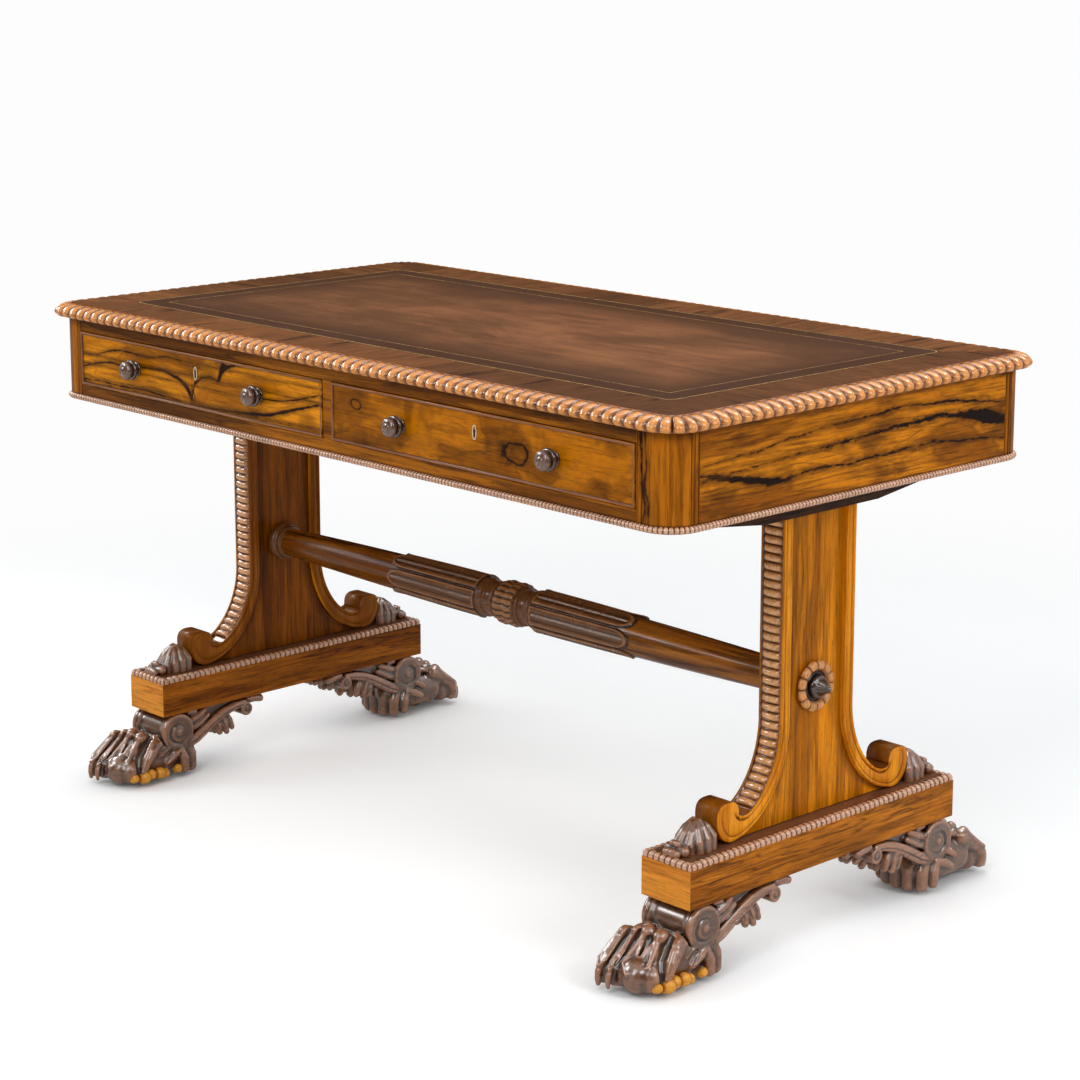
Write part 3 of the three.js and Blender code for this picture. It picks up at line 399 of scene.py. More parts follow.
def veinMask(parts, span, vein):
    # a ragged dark streak: its middle and half width are given at shares along the board
    along = parts[span["alongAxis"]].remap(span["from"] * mm, span["to"] * mm, kind="LINEAR")
    height = parts[span.get("acrossAxis", 2)].remap(span["low"] * mm, span["high"] * mm, kind="LINEAR")
    place = join(*parts)
    bend = place.stretch(*span["wander"]).noise(1.0, 4, 0.6).swing(vein["wander"])
    gap = abs(height + bend - along.ramp(vein["middle"]))
    frayed = place.stretch(*span["raggedness"]).noise(1.0, 4, 0.7).swing(vein["fray"])
    inside = along.ramp(vein["width"]) - gap + frayed
    soft = vein["soft"]
    return inside.remap(-soft, soft), inside.remap(-soft * 7, soft * 2, 0.0, 0.75)


# carved wood: "hollow" is painted shade in the cuts, "crest" is lighter on the proud parts, where handling
# has lightened it and as painted highlight

def carvedFinish(name, crest, body, hollow, rough, axis, specular=0.4, coat=0.0):
    material, tree = newFinish(name)
    place, _ = grainPlace(tree, axis, (0.4, 0.3, 0.8))
    patches = place.noise(26, 3, 0.6)
    lines = place.stretch(20, 300, 300).noise(1.0, 3, 0.6)
    lift = mark(tree, "crest") + patches.swing(0.8)
    colour = mix(tree, lift.remap(0.25, 0.95), body, crest)
    colour = mix(tree, lines.remap(0.4, 0.75, 0.0, 0.45), colour, hollow)
    colour = mix(tree, mark(tree, "hollow").remap(0.1, 0.95), colour, hollow)
    closeFinish(tree, colour, patches.remap(0.3, 0.7, rough, rough + 0.1), [(lines, 0.012)],
                specular=specular, coat=coat)
    return material


# the top: crossbanding, leather

topLook = {
    "halfLength": 654, "halfDepth": 360,
    "block": 0.17, "honey": (158, 100, 54), "amber": (108, 66, 34), "dark": (42, 22, 12),
    "figureScale": 34, "stretch": 0.16, "joint": 0.0016,
    "shades": ((0.3, 0.1), (0.4, 0.7), (0.47, 1.0), (0.52, 0.6), (0.56, 0.9), (0.68, 0.5)),
}
leatherLook = {
    "halfLength": 556, "halfDepth": 262, "corner": 16,
    "worn": (152, 101, 66), "hide": (104, 67, 42), "edge": (76, 49, 32), "gold": (222, 176, 112),
    "speckle": (60, 40, 32), "fade": (0.02, 0.19),      # metres in from the edge
    "lines": ((3.0, 1.2), (38, 0.8)),                   # gold lines: how far in, and half their width
}


def crossbandFinish():
    look = topLook
    material, tree = newFinish("crossbanding")
    along, across, _ = objectPlace(tree).split()
    sideRoom, frontRoom = look["halfLength"] * mm - abs(along), look["halfDepth"] * mm - abs(across)
    onEnd = maths("LESS_THAN", sideRoom, frontRoom)   # 1 on the end bands, mitred at the corners
    run, inward = choose(onEnd, along, across), choose(onEnd, frontRoom, sideRoom)
    blocks = run / look["block"]
    # each edge of the top has its own blocks
    edge = onEnd * 17 + maths("SIGN", choose(onEnd, across, along)) * 5
    piece = node(tree, "TexWhiteNoise", {"W": maths("FLOOR", blocks) + edge}, noise_dimensions="1D")
    board = join(inward, run, piece * 3)
    figure = board.stretch(look["stretch"], 1, 1).noise(look["figureScale"], 4, 0.6, 0.4)
    warm = mix(tree, piece.remap(0.1, 0.9), look["amber"], look["honey"])
    dark = look["dark"]
    colour = mix(tree, figure.ramp(look["shades"]), dark, warm)
    colour = mix(tree, piece.remap(0.72, 0.8, 0.0, 0.35), colour, dark)   # a block here and there is darker
    fine = board.stretch(20, 380, 380).noise(1.0, 3, 0.6)
    colour = mix(tree, fine.remap(0.35, 0.7, 0.25, 0.0), colour, dark)
    joint = maths("LESS_THAN", maths("FRACT", blocks), look["joint"])
    colour = mix(tree, joint * 0.6, colour, dark)
    closeFinish(tree, colour, fine.remap(0.3, 0.7, 0.34, 0.44), [(fine, -0.03)], specular=0.1)
    return material


def insetDistance(place, look):
    # how far in from the edge of the leather, with its corners rounded
    overX, overY = [abs(part) - (look[half] - look["corner"]) * mm
                    for part, half in zip(place.split(), ("halfLength", "halfDepth"))]
    atCorner = maths("SQRT", maths("MAXIMUM", overX, 0.0) ** 2.0 + maths("MAXIMUM", overY, 0.0) ** 2.0)
    atSide = maths("MINIMUM", maths("MAXIMUM", overX, overY), 0.0)
    return look["corner"] * mm - (atCorner + atSide)


def leatherFinish():
    look = leatherLook
    material, tree = newFinish("tooled_leather")
    place = objectPlace(tree)
    inward = insetDistance(place, look)
    clouds = place.stretch(3.2, 4.6, 1).noise(1.0, 6, 0.62, 0.4)
    streaks = place.stretch(7, 46, 1).noise(1.0, 3, 0.6)
    rubbed = clouds * 0.75 + streaks * 0.25
    edgeFade = inward.remap(*look["fade"])
    colour = mix(tree, edgeFade, look["edge"], look["hide"])
    colour = mix(tree, rubbed.remap(0.4, 0.62) * edgeFade, colour, look["worn"])
    speckle = place.noise(260, 3, 0.6)
    colour = mix(tree, speckle.remap(0.4, 0.7, 0.0, 0.22), colour, look["speckle"])
    first, second = [abs(inward - middle * mm).remap(half * mm * 0.7, half * mm * 1.3, 1.0, 0.0)
                     for middle, half in look["lines"]]
    gold = maths("MAXIMUM", first, second)
    gone = place.noise(38, 3, 0.7).remap(0.34, 0.5, 0.4, 1.0)
    dots = node(tree, "TexVoronoi", {"Vector": place, "Scale": 420.0})
    colour = mix(tree, gold * gone * dots.remap(0.1, 0.6, 1.0, 0.45), colour, look["gold"])
    hide = node(tree, "TexVoronoi", {"Vector": place, "Scale": 520.0})
    closeFinish(tree, colour, rubbed.remap(0.4, 0.65, 0.5, 0.4), [(hide, 0.06), (gold, -0.2)], specular=0.05)
    return material


# plain finishes

def stainedFinish(name, light, dark, axis, rough, specular=0.2):
    material, tree = newFinish(name)
    place, _ = grainPlace(tree, axis, (0.2, 0.5, 0.1))
    lines = place.stretch(10, 120, 120).noise(1.0, 4, 0.6)
    colour = mix(tree, lines.remap(0.3, 0.7), dark, light)
    colour = mix(tree, place.noise(9, 3).remap(0.4, 0.7, 0.0, 0.35), colour, dark)
    closeFinish(tree, colour, lines.remap(0.3, 0.7, rough + 0.1, rough), [(lines, 0.1)], specular=specular)
    return material


def metalFinish(name, bright, dull, rough):
    material, tree = newFinish(name)
    spots = objectPlace(tree).noise(220, 4, 0.65)
    marks = objectPlace(tree).stretch(900, 900, 90).noise(1.0, 2)
    colour = mix(tree, spots.remap(0.35, 0.65), dull, bright)
    rough = spots.remap(0.35, 0.65, rough + 0.2, rough)
    closeFinish(tree, colour, rough, [(marks, 0.04)], specular=0.5, metal=1.0)
    return material


def inlayFinish():
    material, tree = newFinish("pale_inlay")
    lines = objectPlace(tree).stretch(900, 900, 120).noise(1.0, 3)
    colour = mix(tree, lines.remap(0.35, 0.7), (216, 198, 158), (240, 228, 198))
    closeFinish(tree, colour, lines.remap(0.3, 0.7, 0.35, 0.5), [(lines, 0.03)])
    return material


# the dark of the keyhole: painted shade for the hole
def shadowFinish():
    material, tree = newFinish("keyhole_dark")
    dust = objectPlace(tree).noise(700, 2)
    closeFinish(tree, mix(tree, dust, (10, 7, 6), (24, 17, 12)), 0.8, [(dust, 0.02)], specular=0.1)
    return material


# crest, body and hollow colours (crest for wear and painted highlight, hollow for painted shade), roughness,
# the axis of the grain, specular and coat
carvedLooks = {
    "gadroon": ((232, 150, 66), (160, 92, 36), (26, 10, 3), 0.16, "X", 0.6),
    "bead": ((222, 166, 128), (122, 76, 48), (18, 9, 6), 0.16, "X", 0.9),
    "cockbead": ((150, 96, 62), (90, 52, 28), (28, 14, 8), 0.26, "X", 0.3),
    "lobe": ((240, 172, 108), (158, 92, 42), (22, 9, 4), 0.16, "Y", 0.9),
    "carved": ((162, 108, 73), (98, 62, 38), (22, 11, 6), 0.24, "Y", 1.0, 0.25),
    "turned": ((170, 114, 66), (120, 76, 40), (32, 16, 9), 0.2, "X", 0.4),
    "knob": ((112, 78, 58), (70, 45, 30), (16, 9, 7), 0.16, "Y", 1.0),
    "platform_top": ((160, 112, 84), (122, 80, 54), (44, 24, 15), 0.26, "Y", 0.2),
    "petal": ((218, 150, 84), (168, 102, 44), (32, 15, 8), 0.22, "Z", 0.45),
}
finishes = {
    "golden": carvedFinish("worn_gilding", (240, 166, 50), (206, 124, 20), (110, 56, 8), 0.32, "Y"),
    "crossband": crossbandFinish(),
    "leather": leatherFinish(),
    "underframe": stainedFinish("dark_underframe", (78, 48, 28), (36, 20, 12), "Y", 0.45, specular=0.1),
    "lining": stainedFinish("drawer_lining", (196, 156, 104), (150, 112, 70), "X", 0.6),
    "lining_side": stainedFinish("drawer_lining_side", (192, 150, 100), (146, 108, 68), "Y", 0.6),
    "brass": metalFinish("brass", (196, 156, 92), (128, 96, 50), 0.28),
    "iron": metalFinish("castor_iron", (92, 84, 78), (44, 38, 34), 0.42),
    "inlay": inlayFinish(),
    "keyhole": shadowFinish(),
}
for name, look in rosewoodLooks.items():
    finishes[name] = rosewood(name, look)
for name, look in carvedLooks.items():
    finishes[name] = carvedFinish(name + "_polish", *look)
print("finishes mixed:", len(finishes))


# mesh helpers

sides = (("left", -1), ("right", 1))
depths = (("front", -1), ("back", 1))


def gridFaces(rows, columns, loopRows=False, loopColumns=False, start=0):
    r, c = np.meshgrid(np.arange(rows if loopRows else rows - 1),
                       np.arange(columns if loopColumns else columns - 1), indexing="ij")
    nextR, nextC = (r + 1) % rows, (c + 1) % columns
    quads = (r * columns + c, r * columns + nextC, nextR * columns + nextC, nextR * columns + c)
    return (np.stack(quads, -1).reshape(-1, 4) + start).tolist()


def makePiece(name, points, faces, finish, body="table", replaces=(), marks=None,
              smooth=True):
    mesh = bpy.data.meshes.new(name)
    mesh.from_pydata((np.asarray(points, float) * mm).tolist(), [], faces)
    skin = bmesh.new()
    skin.from_mesh(mesh)
    bmesh.ops.recalc_face_normals(skin, faces=skin.faces)
    skin.to_mesh(mesh)
    skin.free()
    mesh.polygons.foreach_set("use_smooth", np.full(len(mesh.polygons), smooth))
    for key in ("hollow", "crest"):
        layer = mesh.attributes.new(key, "FLOAT", "POINT")
        if marks and key in marks:
            layer.data.foreach_set("value", np.asarray(marks[key], np.float32).ravel())
    piece = bpy.data.objects.new(name, mesh)
    bpy.context.scene.collection.objects.link(piece)
    mesh.materials.append(finishes[finish])
    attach(piece, body)
    if replaces:
        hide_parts(*replaces)
    return piece


def secondFinish(piece, finish, chosen):
    # chosen says of each face, from the first one on, whether it has the second finish
    piece.data.materials.append(finishes[finish])
    spots = np.zeros(len(piece.data.polygons), np.int32)
    spots[:len(chosen)] = chosen
    piece.data.polygons.foreach_set("material_index", spots)


def gridPlaces(rows, columns):
    # the row and column of each face of a swept section
    place = np.arange((rows - 1) * columns)
    return place // columns, place % columns


def capped(rows, columns):
    # faces of a swept section with its two ends closed
    first = list(range(columns))
    last = [(rows - 1) * columns + i for i in range(columns)]
    return gridFaces(rows, columns, loopColumns=True) + [first, last]


def bump(value):
    # the round back of a lobe: 0 at its edges, 1 along its middle
    return np.sqrt(np.clip(1 - (2 * (value % 1) - 1) ** 2, 0, 1))


def step(value, low, high):
    share = np.clip((value - low) / (high - low), 0, 1)
    return share * share * (3 - 2 * share)


def travelAlong(path):
    return np.concatenate([[0], np.cumsum(np.linalg.norm(np.diff(path, axis=0), axis=1))])


def leftOf(path):
    # the unit direction to the left of a path at each of its points
    ahead = np.gradient(path, axis=0)
    left = np.stack([-ahead[:, 1], ahead[:, 0]], -1)
    return left / np.linalg.norm(left, axis=1)[:, None]


def backed(section, hidden):
    # the same hidden corners close the back of every row
    return np.concatenate([section, np.repeat(np.array([hidden], float), len(section), 0)], 1)


def edgeWalk(halfX, halfY, radius, distance):
    # a place and outward direction at each distance round a rounded rectangle, from the middle of
    # its front left corner, to the right along the front and on round
    straightX, straightY = 2 * (halfX - radius), 2 * (halfY - radius)
    arc = radius * math.pi / 2
    lengths = [arc / 2, straightX, arc, straightY, arc, straightX, arc, straightY, arc / 2]
    distance = np.asarray(distance) % sum(lengths)
    place = np.zeros((len(distance), 2))
    out = np.zeros((len(distance), 2))
    corners = [(-1, -1), (1, -1), (1, 1), (-1, 1), (-1, -1)]
    begin = 0
    for index, length in enumerate(lengths):
        inside = (distance >= begin) & (distance <= begin + length)
        along = distance[inside] - begin
        if index % 2 == 0:
            signX, signY = corners[index // 2]
            first = -3 * math.pi / 4 if index == 0 else (index // 2 - 2) * math.pi / 2
            angle = first + along / radius
            out[inside] = np.stack([np.cos(angle), np.sin(angle)], -1)
            centre = np.array([signX * (halfX - radius), signY * (halfY - radius)])
            place[inside] = centre + radius * out[inside]
        else:
            side = index // 2
            normal = np.array([(0, -1), (1, 0), (0, 1), (-1, 0)][side])
            ahead = np.array([-normal[1], normal[0]])
            half = (straightX, straightY)[side % 2] / 2
            reach = (halfY, halfX)[side % 2]
            out[inside] = normal
            place[inside] = normal * reach + ahead * (along - half)[:, None]
        begin += length
    return place, out


def walkLength(halfX, halfY, radius):
    return 4 * (halfX - radius) + 4 * (halfY - radius) + turn * radius


def sweepRound(place, out, section):
    # section[row, column] is (outward, height); each row stands at its own place
    flat = place[:, None, :] + out[:, None, :] * section[..., 0:1]
    return np.concatenate([flat, section[..., 1:2]], -1).reshape(-1, 3)


def lathe(profile, count, axis, centre, shape=None):
    # profile rows are (radius, along); shape multiplies the radius of each row at each angle
    profile = np.asarray(profile, float)
    angle = np.arange(count) / count * turn
    radius = np.repeat(profile[:, 0:1], count, 1)
    if shape is not None:
        radius = radius * shape
    one, two = radius * np.cos(angle), radius * np.sin(angle)
    along = np.repeat(profile[:, 1:2], count, 1)
    order = {"X": (along, one, two), "Y": (two, along, one), "Z": (one, two, along)}[axis]
    points = np.stack(order, -1).reshape(-1, 3) + np.asarray(centre, float)
    return points, capped(len(profile), count)


def smoothProfile(knots, steps=6):
    # a curve through the knots, with a repeated knot kept as a sharp edge
    knots = np.asarray(knots, float)
    padded = np.concatenate([2 * knots[:1] - knots[1:2], knots, 2 * knots[-1:] - knots[-2:-1]])
    made = []
    for i in range(1, len(padded) - 2):
        a, b, c, d = padded[i - 1:i + 3]
        if np.allclose(b, c):
            continue
        if np.allclose(a, b):
            a = 2 * b - c
        if np.allclose(c, d):
            d = 2 * c - b
        for t in np.arange(steps) / steps:
            made.append(0.5 * (2 * b + (c - a) * t + (2 * a - 5 * b + 4 * c - d) * t ** 2
                               + (3 * b - a - 3 * c + d) * t ** 3))
    return np.array(made + [knots[-1]])


# gadroon round the top

gadroonLook = {
    "halfLength": 654, "halfDepth": 360, "corner": 50, "pitch": 18.7, "gap": 0.4,
    "width": 28, "low": 722, "rise": 18, "return": 5, "stationsPerLobe": 14,
    "noseStart": 2.0, "noseLength": 7.0, "noseFullness": 1.4, "roundness": 2.05, "deepCut": 3,
    "thumb": ((-1, 1), (-0.9, 1.0), (-0.75, 0.985), (-0.5, 0.93), (-0.26, 0.81), (-0.09, 0.62), (0, 0.38),
              (-0.03, 0.17), (-0.13, 0.02)),
    "cut": (0.0, 0.8, 2.4, 4.6, 6.8, 8.6, 9.4, 8.8, 5.0),   # how deep the valleys are at each thumb place
}


def makeGadroons():
    look = gadroonLook
    halfX, halfY, corner = look["halfLength"], look["halfDepth"], look["corner"]
    arc = corner * math.pi / 2
    long, short = 2 * (halfX - corner) + arc, 2 * (halfY - corner) + arc
    thumb = [(out * look["width"], look["low"] + rise * look["rise"]) for out, rise in look["thumb"]]
    fine = smoothProfile(np.column_stack([thumb, look["cut"]]), 4)
    curve, cut = fine[:, :2], fine[:, 2]
    normal = leftOf(curve)
    hidden = [(-look["return"], look["low"]), (-look["width"], look["low"])]
    # each lobe starts in a round nose near the inner edge and rounds under at the bottom
    nose = np.clip(1 - (travelAlong(curve) - look["noseStart"]) / look["noseLength"], 0, look["noseFullness"])
    depth = np.clip(cut / look["deepCut"], 0, 1)
    begin = 0
    for side, length in (("front", long), ("right", short), ("back", long), ("left", short)):
        count = round(length / look["pitch"])
        rows = count * look["stationsPerLobe"] + 1
        distance = begin + np.linspace(look["gap"] / 2, length - look["gap"] / 2, rows)
        phase = (distance - begin) / length * count
        across = np.abs(2 * (phase % 1) - 1)
        back = np.sqrt(np.clip(1 - across[:, None] ** look["roundness"] - nose ** 2, 0, 1))
        section = backed(curve - normal * ((1 - back) * cut)[..., None], hidden)
        place, out = edgeWalk(halfX, halfY, corner, distance)
        # painted shade in the valleys between the lobes, painted highlight on their backs
        hollow = np.pad((1 - back) * depth, ((0, 0), (0, 2)))
        crest = np.pad(back ** 2 * depth, ((0, 0), (0, 2)))
        makePiece("carved_gadroon_" + side, sweepRound(place, out, section), capped(rows, section.shape[1]),
                  "gadroon", replaces=["gadroon_" + side],
                  marks={"hollow": hollow ** 1.15, "crest": crest})
        begin += length


makeGadroons()


# pearls along the bottom of the frieze

pearlLook = {"halfLength": 636, "halfDepth": 342, "corner": 41, "height": 601.9, "pitch": 6.2,
             "core": 2.5, "pearl": 2.0, "stationsPerPearl": 8, "wrap": 112, "columns": 13}


def makePearls():
    look = pearlLook
    size = (look["halfLength"], look["halfDepth"], look["corner"])
    length = walkLength(*size)
    count = round(length / look["pitch"])
    rows = count * look["stationsPerPearl"]
    distance = np.arange(rows) / rows * length
    back = bump(distance / length * count)
    angle = np.radians(np.linspace(-look["wrap"], look["wrap"], look["columns"]))
    radius = (look["core"] + look["pearl"] * back)[:, None]
    section = np.stack([radius * np.cos(angle), look["height"] + radius * np.sin(angle)], -1)
    section = backed(section, [(-look["core"], look["height"])])
    place, out = edgeWalk(*size, distance)
    columns = section.shape[1]
    # painted shade between the pearls, painted highlight on them
    hollow = np.repeat((1 - back)[:, None], columns, 1)
    makePiece("frieze_pearls", sweepRound(place, out, section), gridFaces(rows, columns, True, True), "bead",
              marks={"hollow": hollow ** 1.3, "crest": 1 - hollow})


# the plain boards of the frieze, in from the face and up, with a small ledge behind the pearls
boardLook = {"low": 597.5, "reachX": 577.2, "reachY": 293.7, "rail": 40, "panel": 20, "railTop": 622.5,
             "high": 721.7, "ledge": 1.0, "ledgeTop": 606.1, "ease": 0.4}


def makeBoards():
    look = boardLook
    boards = (("beaded_rail", "rail", 0, -1, look["rail"], look["railTop"], "frieze_bottom_rail"),
              ("beaded_back_board", "rail", 0, 1, look["panel"], look["high"], "frieze_back_board"),
              ("beaded_end_left", "end_panel", 1, -1, look["panel"], look["high"], "end_panel_left"),
              ("beaded_end_right", "end_panel", 1, 1, look["panel"], look["high"], "end_panel_right"))
    for name, finish, axis, side, thick, top, solid in boards:
        face = (pearlLook["halfDepth"], pearlLook["halfLength"])[axis]
        reach = (look["reachX"], look["reachY"])[axis]
        section = [(face - thick, look["low"]), (face - look["ledge"], look["low"]),
                   (face - look["ledge"], look["ledgeTop"]), (face, look["ledgeTop"]), (face, top),
                   (face - thick, top)]
        points = [(*((along, side * out) if axis == 0 else (side * out, along)), up)
                  for along in (-reach, reach) for out, up in section]
        board = makePiece(name, points, capped(2, len(section)), finish, replaces=[solid], smooth=False)
        softEdges(board, look["ease"])


def softEdges(piece, width=0.8, angle=35, weld=False):
    # eased arrises, as a plane and sandpaper leave them
    if weld:
        merge = piece.modifiers.new("merge", "WELD")
        merge.merge_threshold = 0.00002
    ease = piece.modifiers.new("ease", "BEVEL")
    ease.width = width * mm
    ease.segments = 2
    ease.limit_method = "ANGLE"
    ease.angle_limit = math.radians(angle)
    ease.harden_normals = True


makePearls()
makeBoards()
print("edge mouldings carved")


# corner posts

postLook = {"halfLength": 636, "halfDepth": 342, "corner": 41, "front": 58.5, "side": 48,
            "low": 597.5, "high": 721.7,
            # grooves, in mm from the post's edge beside the end panel and from its edge on the front
            "sideGrooves": (1.6, 8.4, 13.5), "frontGrooves": (1.8, 9.5), "grooveWidth": 2.2,
            "grooveDepth": 1.7}


def makePosts():
    look = postLook
    outX, outY, r = look["halfLength"], look["halfDepth"], look["corner"]
    flat, arc = look["side"] - r, r * math.pi / 2
    total = flat + arc + look["front"] - r
    travel = np.linspace(0, total, 180)
    grooves = list(look["sideGrooves"]) + [total - place for place in look["frontGrooves"]]
    cut = np.max([np.clip(1 - np.abs(travel - place) / look["grooveWidth"] * 2, 0, 1) for place in grooves],
                 axis=0)
    angle = np.clip((travel - flat) / r, 0, math.pi / 2)
    out = np.stack([np.cos(angle), np.sin(angle)], -1)
    outline = np.array([outX - r, outY - r]) + r * out
    outline[:, 1] -= np.clip(flat - travel, 0, None)
    outline[:, 0] -= np.clip(travel - flat - arc, 0, None)
    outline -= out * (cut * look["grooveDepth"])[:, None]
    outline = np.concatenate([[(outX - look["front"], outY - look["side"])], outline])
    # painted shade in the grooves
    hollow = np.tile(np.append(0, cut), 2)
    for across, signX in sides:
        for depth, signY in depths:
            points = [(x, y, z) for z in (look["low"], look["high"]) for x, y in outline * (signX, signY)]
            makePiece(f"post_{depth}_{across}", points, capped(2, len(outline)), "post",
                      replaces=[f"corner_post_{depth}_{across}"], marks={"hollow": hollow}, smooth=False)


makePosts()


# drawers: cock beading, knobs, keyhole plates

drawerLook = {"middleX": 293.5, "halfWidth": 283, "low": 623.5, "high": 701.8, "face": -342,
              "beadRadius": 1.9, "beadOut": 2.6}


def makeCockbeads():
    look = drawerLook
    angle = np.radians(np.linspace(-90, 90, 9))
    r, back = look["beadRadius"], look["face"] + 1
    for name, side in sides:
        x0, x1 = [side * look["middleX"] + way * look["halfWidth"] for way in (-1, 1)]
        corners = [(x0, look["low"], 1, 1), (x1, look["low"], -1, 1), (x1, look["high"], -1, -1),
                   (x0, look["high"], 1, -1)]
        points = []
        for x, z, inX, inZ in corners:
            bead = [(r + r * math.sin(a), look["face"] - look["beadOut"] * math.cos(a)) for a in angle]
            for inset, y in bead + [(2 * r, back), (0, back)]:
                points.append((x + inX * inset, y, z + inZ * inset))
        # lighter where the bead's round faces out: painted highlight
        crest = np.tile(np.append(np.cos(angle), (0, 0)), 4)
        makePiece("cockbead_" + name, points, gridFaces(4, len(angle) + 2, True, True), "cockbead",
                  "drawer_" + name, marks={"crest": crest})


knobLook = {
    "places": ((-437.5, "left", "left"), (-149.5, "left", "right"), (149.5, "right", "left"),
               (437.5, "right", "right")),
    "height": 662.65, "face": -342.3, "count": 56, "rubbed": (8, 22),   # rubbed: polished pale from, to
    # radius and how far it stands out; a knot given twice is a sharp edge
    "profile": ((0.01, 0), (10.6, 0), (10.6, 0), (10.8, 1.4), (9.6, 2.6), (8.2, 3.4), (7.4, 5.2), (8.6, 6.8),
                (8.6, 6.8), (12.6, 7.4), (14.4, 8.8), (14.7, 10.4), (13.8, 12.2), (11.4, 13.2), (9.4, 13.6),
                (9.4, 13.6), (9.2, 14.4), (9.6, 15.0), (9.6, 15.0), (12.0, 15.9), (13.2, 18.0), (12.8, 20.6),
                (11.0, 22.8), (8.2, 24.2), (6.6, 24.6), (6.6, 24.6), (6.0, 24.2), (5.3, 24.7), (5.3, 24.7),
                (3.4, 25.6), (1.5, 25.9), (1.5, 25.9), (0.9, 25.0), (0.01, 24.8)),
}


def makeKnobs():
    look = knobLook
    profile = smoothProfile(look["profile"], 4) * (1, -1)
    profile[:, 0] = np.clip(profile[:, 0], 0.01, None)
    rubbed = np.repeat(step(-profile[:, 1], *look["rubbed"]), look["count"])
    for x, drawer, hand in look["places"]:
        points, faces = lathe(profile, look["count"], "Y", (x, look["face"], look["height"]))
        makePiece(f"drawer_{drawer}_turned_knob_{hand}", points, faces, "knob", "drawer_" + drawer,
                  replaces=[f"drawer_{drawer}_knob_{hand}"],
                  marks={"crest": rubbed})


plateLook = {"height": 674.65, "halfWidth": 4.1, "halfHeight": 9.6, "rim": 1.5, "face": -342.3, "thick": 0.9,
             "waist": 0.1, "count": 40, "keyRadius": 2.1, "keyRise": 1.6, "keyDrop": 6.0, "keyFoot": 1.7,
             "keyOpening": 0.36, "keyDepth": (0.15, -0.35)}


def keyOutline(look):
    # a round bow over a flared foot
    r, opening = look["keyRadius"], look["keyOpening"]
    angle = np.linspace(-opening * math.pi, (1 + opening) * math.pi, 18)
    bow = [(r * math.cos(a), look["keyRise"] + r * math.sin(a)) for a in angle]
    return bow + [(-look["keyFoot"], -look["keyDrop"]), (look["keyFoot"], -look["keyDrop"])]


def makeKeyPlates():
    look = plateLook
    angle = np.arange(look["count"]) / look["count"] * turn
    # the plate is a thin rim that swells at the shoulders
    outer = np.stack([look["halfWidth"] * np.cos(angle) * (1 - look["waist"] * np.cos(2 * angle)),
                      look["halfHeight"] * np.sin(angle)], -1)
    inner = outer * (1 - look["rim"] / look["halfWidth"], 1 - look["rim"] / look["halfHeight"])
    rings = [(outer, 0), (outer * 0.98, -look["thick"]), (inner * 1.05, -look["thick"]), (inner, 0)]
    hole = keyOutline(look)
    plate = [(x, y, z) for ring, y in rings for x, z in ring]
    keyhole = [(x, y, z) for y in look["keyDepth"] for x, z in hole]
    for name, side in sides:
        middle = (side * drawerLook["middleX"], look["face"], look["height"])
        makePiece("key_plate_" + name, np.add(plate, middle), gridFaces(4, look["count"], True, True),
                  "inlay", "drawer_" + name, replaces=[f"drawer_{name}_escutcheon"])
        # the keyhole is a dark key-shaped sheet on the plate: painted shade for the hole
        makePiece("keyhole_" + name, np.add(keyhole, middle), capped(2, len(hole)), "keyhole",
                  "drawer_" + name, smooth=False)


makeCockbeads()
makeKnobs()
makeKeyPlates()
print("posts and drawer fittings made")


# uprights: scrolled bands with lobed edges, sunk panel

uprightLook = {
    "middleX": 553.5, "halfThickness": 19.5, "low": 161.8, "high": 565.4, "flare": 138, "band": 18,
    "reach": 188, "scrollHeight": 54, "roll": 20, "halfWidth": 71, "rows": 540,
    # the sweep of the two edges of a band, as shares of the flare and of the way to the roll
    "innerFlare": 0.57, "innerSweep": 0.35, "innerRise": 0.06,
    "outerFlare": 0.56, "outerSweep": 0.52, "outerRise": 0.05,
    "rollTurn": 0.8, "hook": 0.3, "squareness": 2.9,
    # the side of a band: share of the way from its under edge to its lobed edge, and how far it stands out
    "face": ((0.0, -1.2), (0.03, -0.2), (0.13, 0), (0.17, -1.2), (0.21, 0), (0.58, 0), (0.62, -2.2),
             (0.67, -2.2), (0.70, -0.3), (0.76, 0.8), (0.84, 1.0), (0.93, 0.2)),
    # the lobed edge: a rim, a margin and a strip of lobes between
    "rim": ((-0.6, -0.9), (-1.6, -0.2), (-2.6, -0.9)), "margin": 4.6, "marginGap": 0.3,
    "lobePitch": 11.6, "lobeHalf": 16.2, "lobeRise": 7.6, "lobesEnd": 0.92, "fade": (0.93, 0.985),
    # how dark, and on which shares of the band: darker on the roll, and painted shade on the rim, in the
    # quirk and in the line
    "rollDark": 0.95, "rollUnder": (0.88, 0.91), "rollOver": (0.93, 0.96),
    "rimShade": 0.3, "quirkShade": 0.95, "quirk": (0.6, 0.69), "lineShade": 0.9, "line": 0.17,
    # the panel between the bands, and the painted shade beside them
    "panelSink": 8, "dirt": 0.62, "dirtFrom": 25, "dirtTo": 9,
    "panelShares": (-1, -0.9, -0.82, -0.74, -0.64, -0.5, 0, 0.5, 0.64, 0.74, 0.82, 0.9, 1),
}


def bezier(a, b, c, d, t):
    t = t[:, None]
    return ((1 - t) ** 3 * np.array(a) + 3 * (1 - t) ** 2 * t * np.array(b)
            + 3 * (1 - t) * t ** 2 * np.array(c) + t ** 3 * np.array(d))


def resample(path, shares):
    travel = travelAlong(path)
    goal = np.asarray(shares) * travel[-1]
    return np.stack([np.interp(goal, travel, path[:, i]) for i in (0, 1)], -1), travel[-1]


sweepSteps = 60


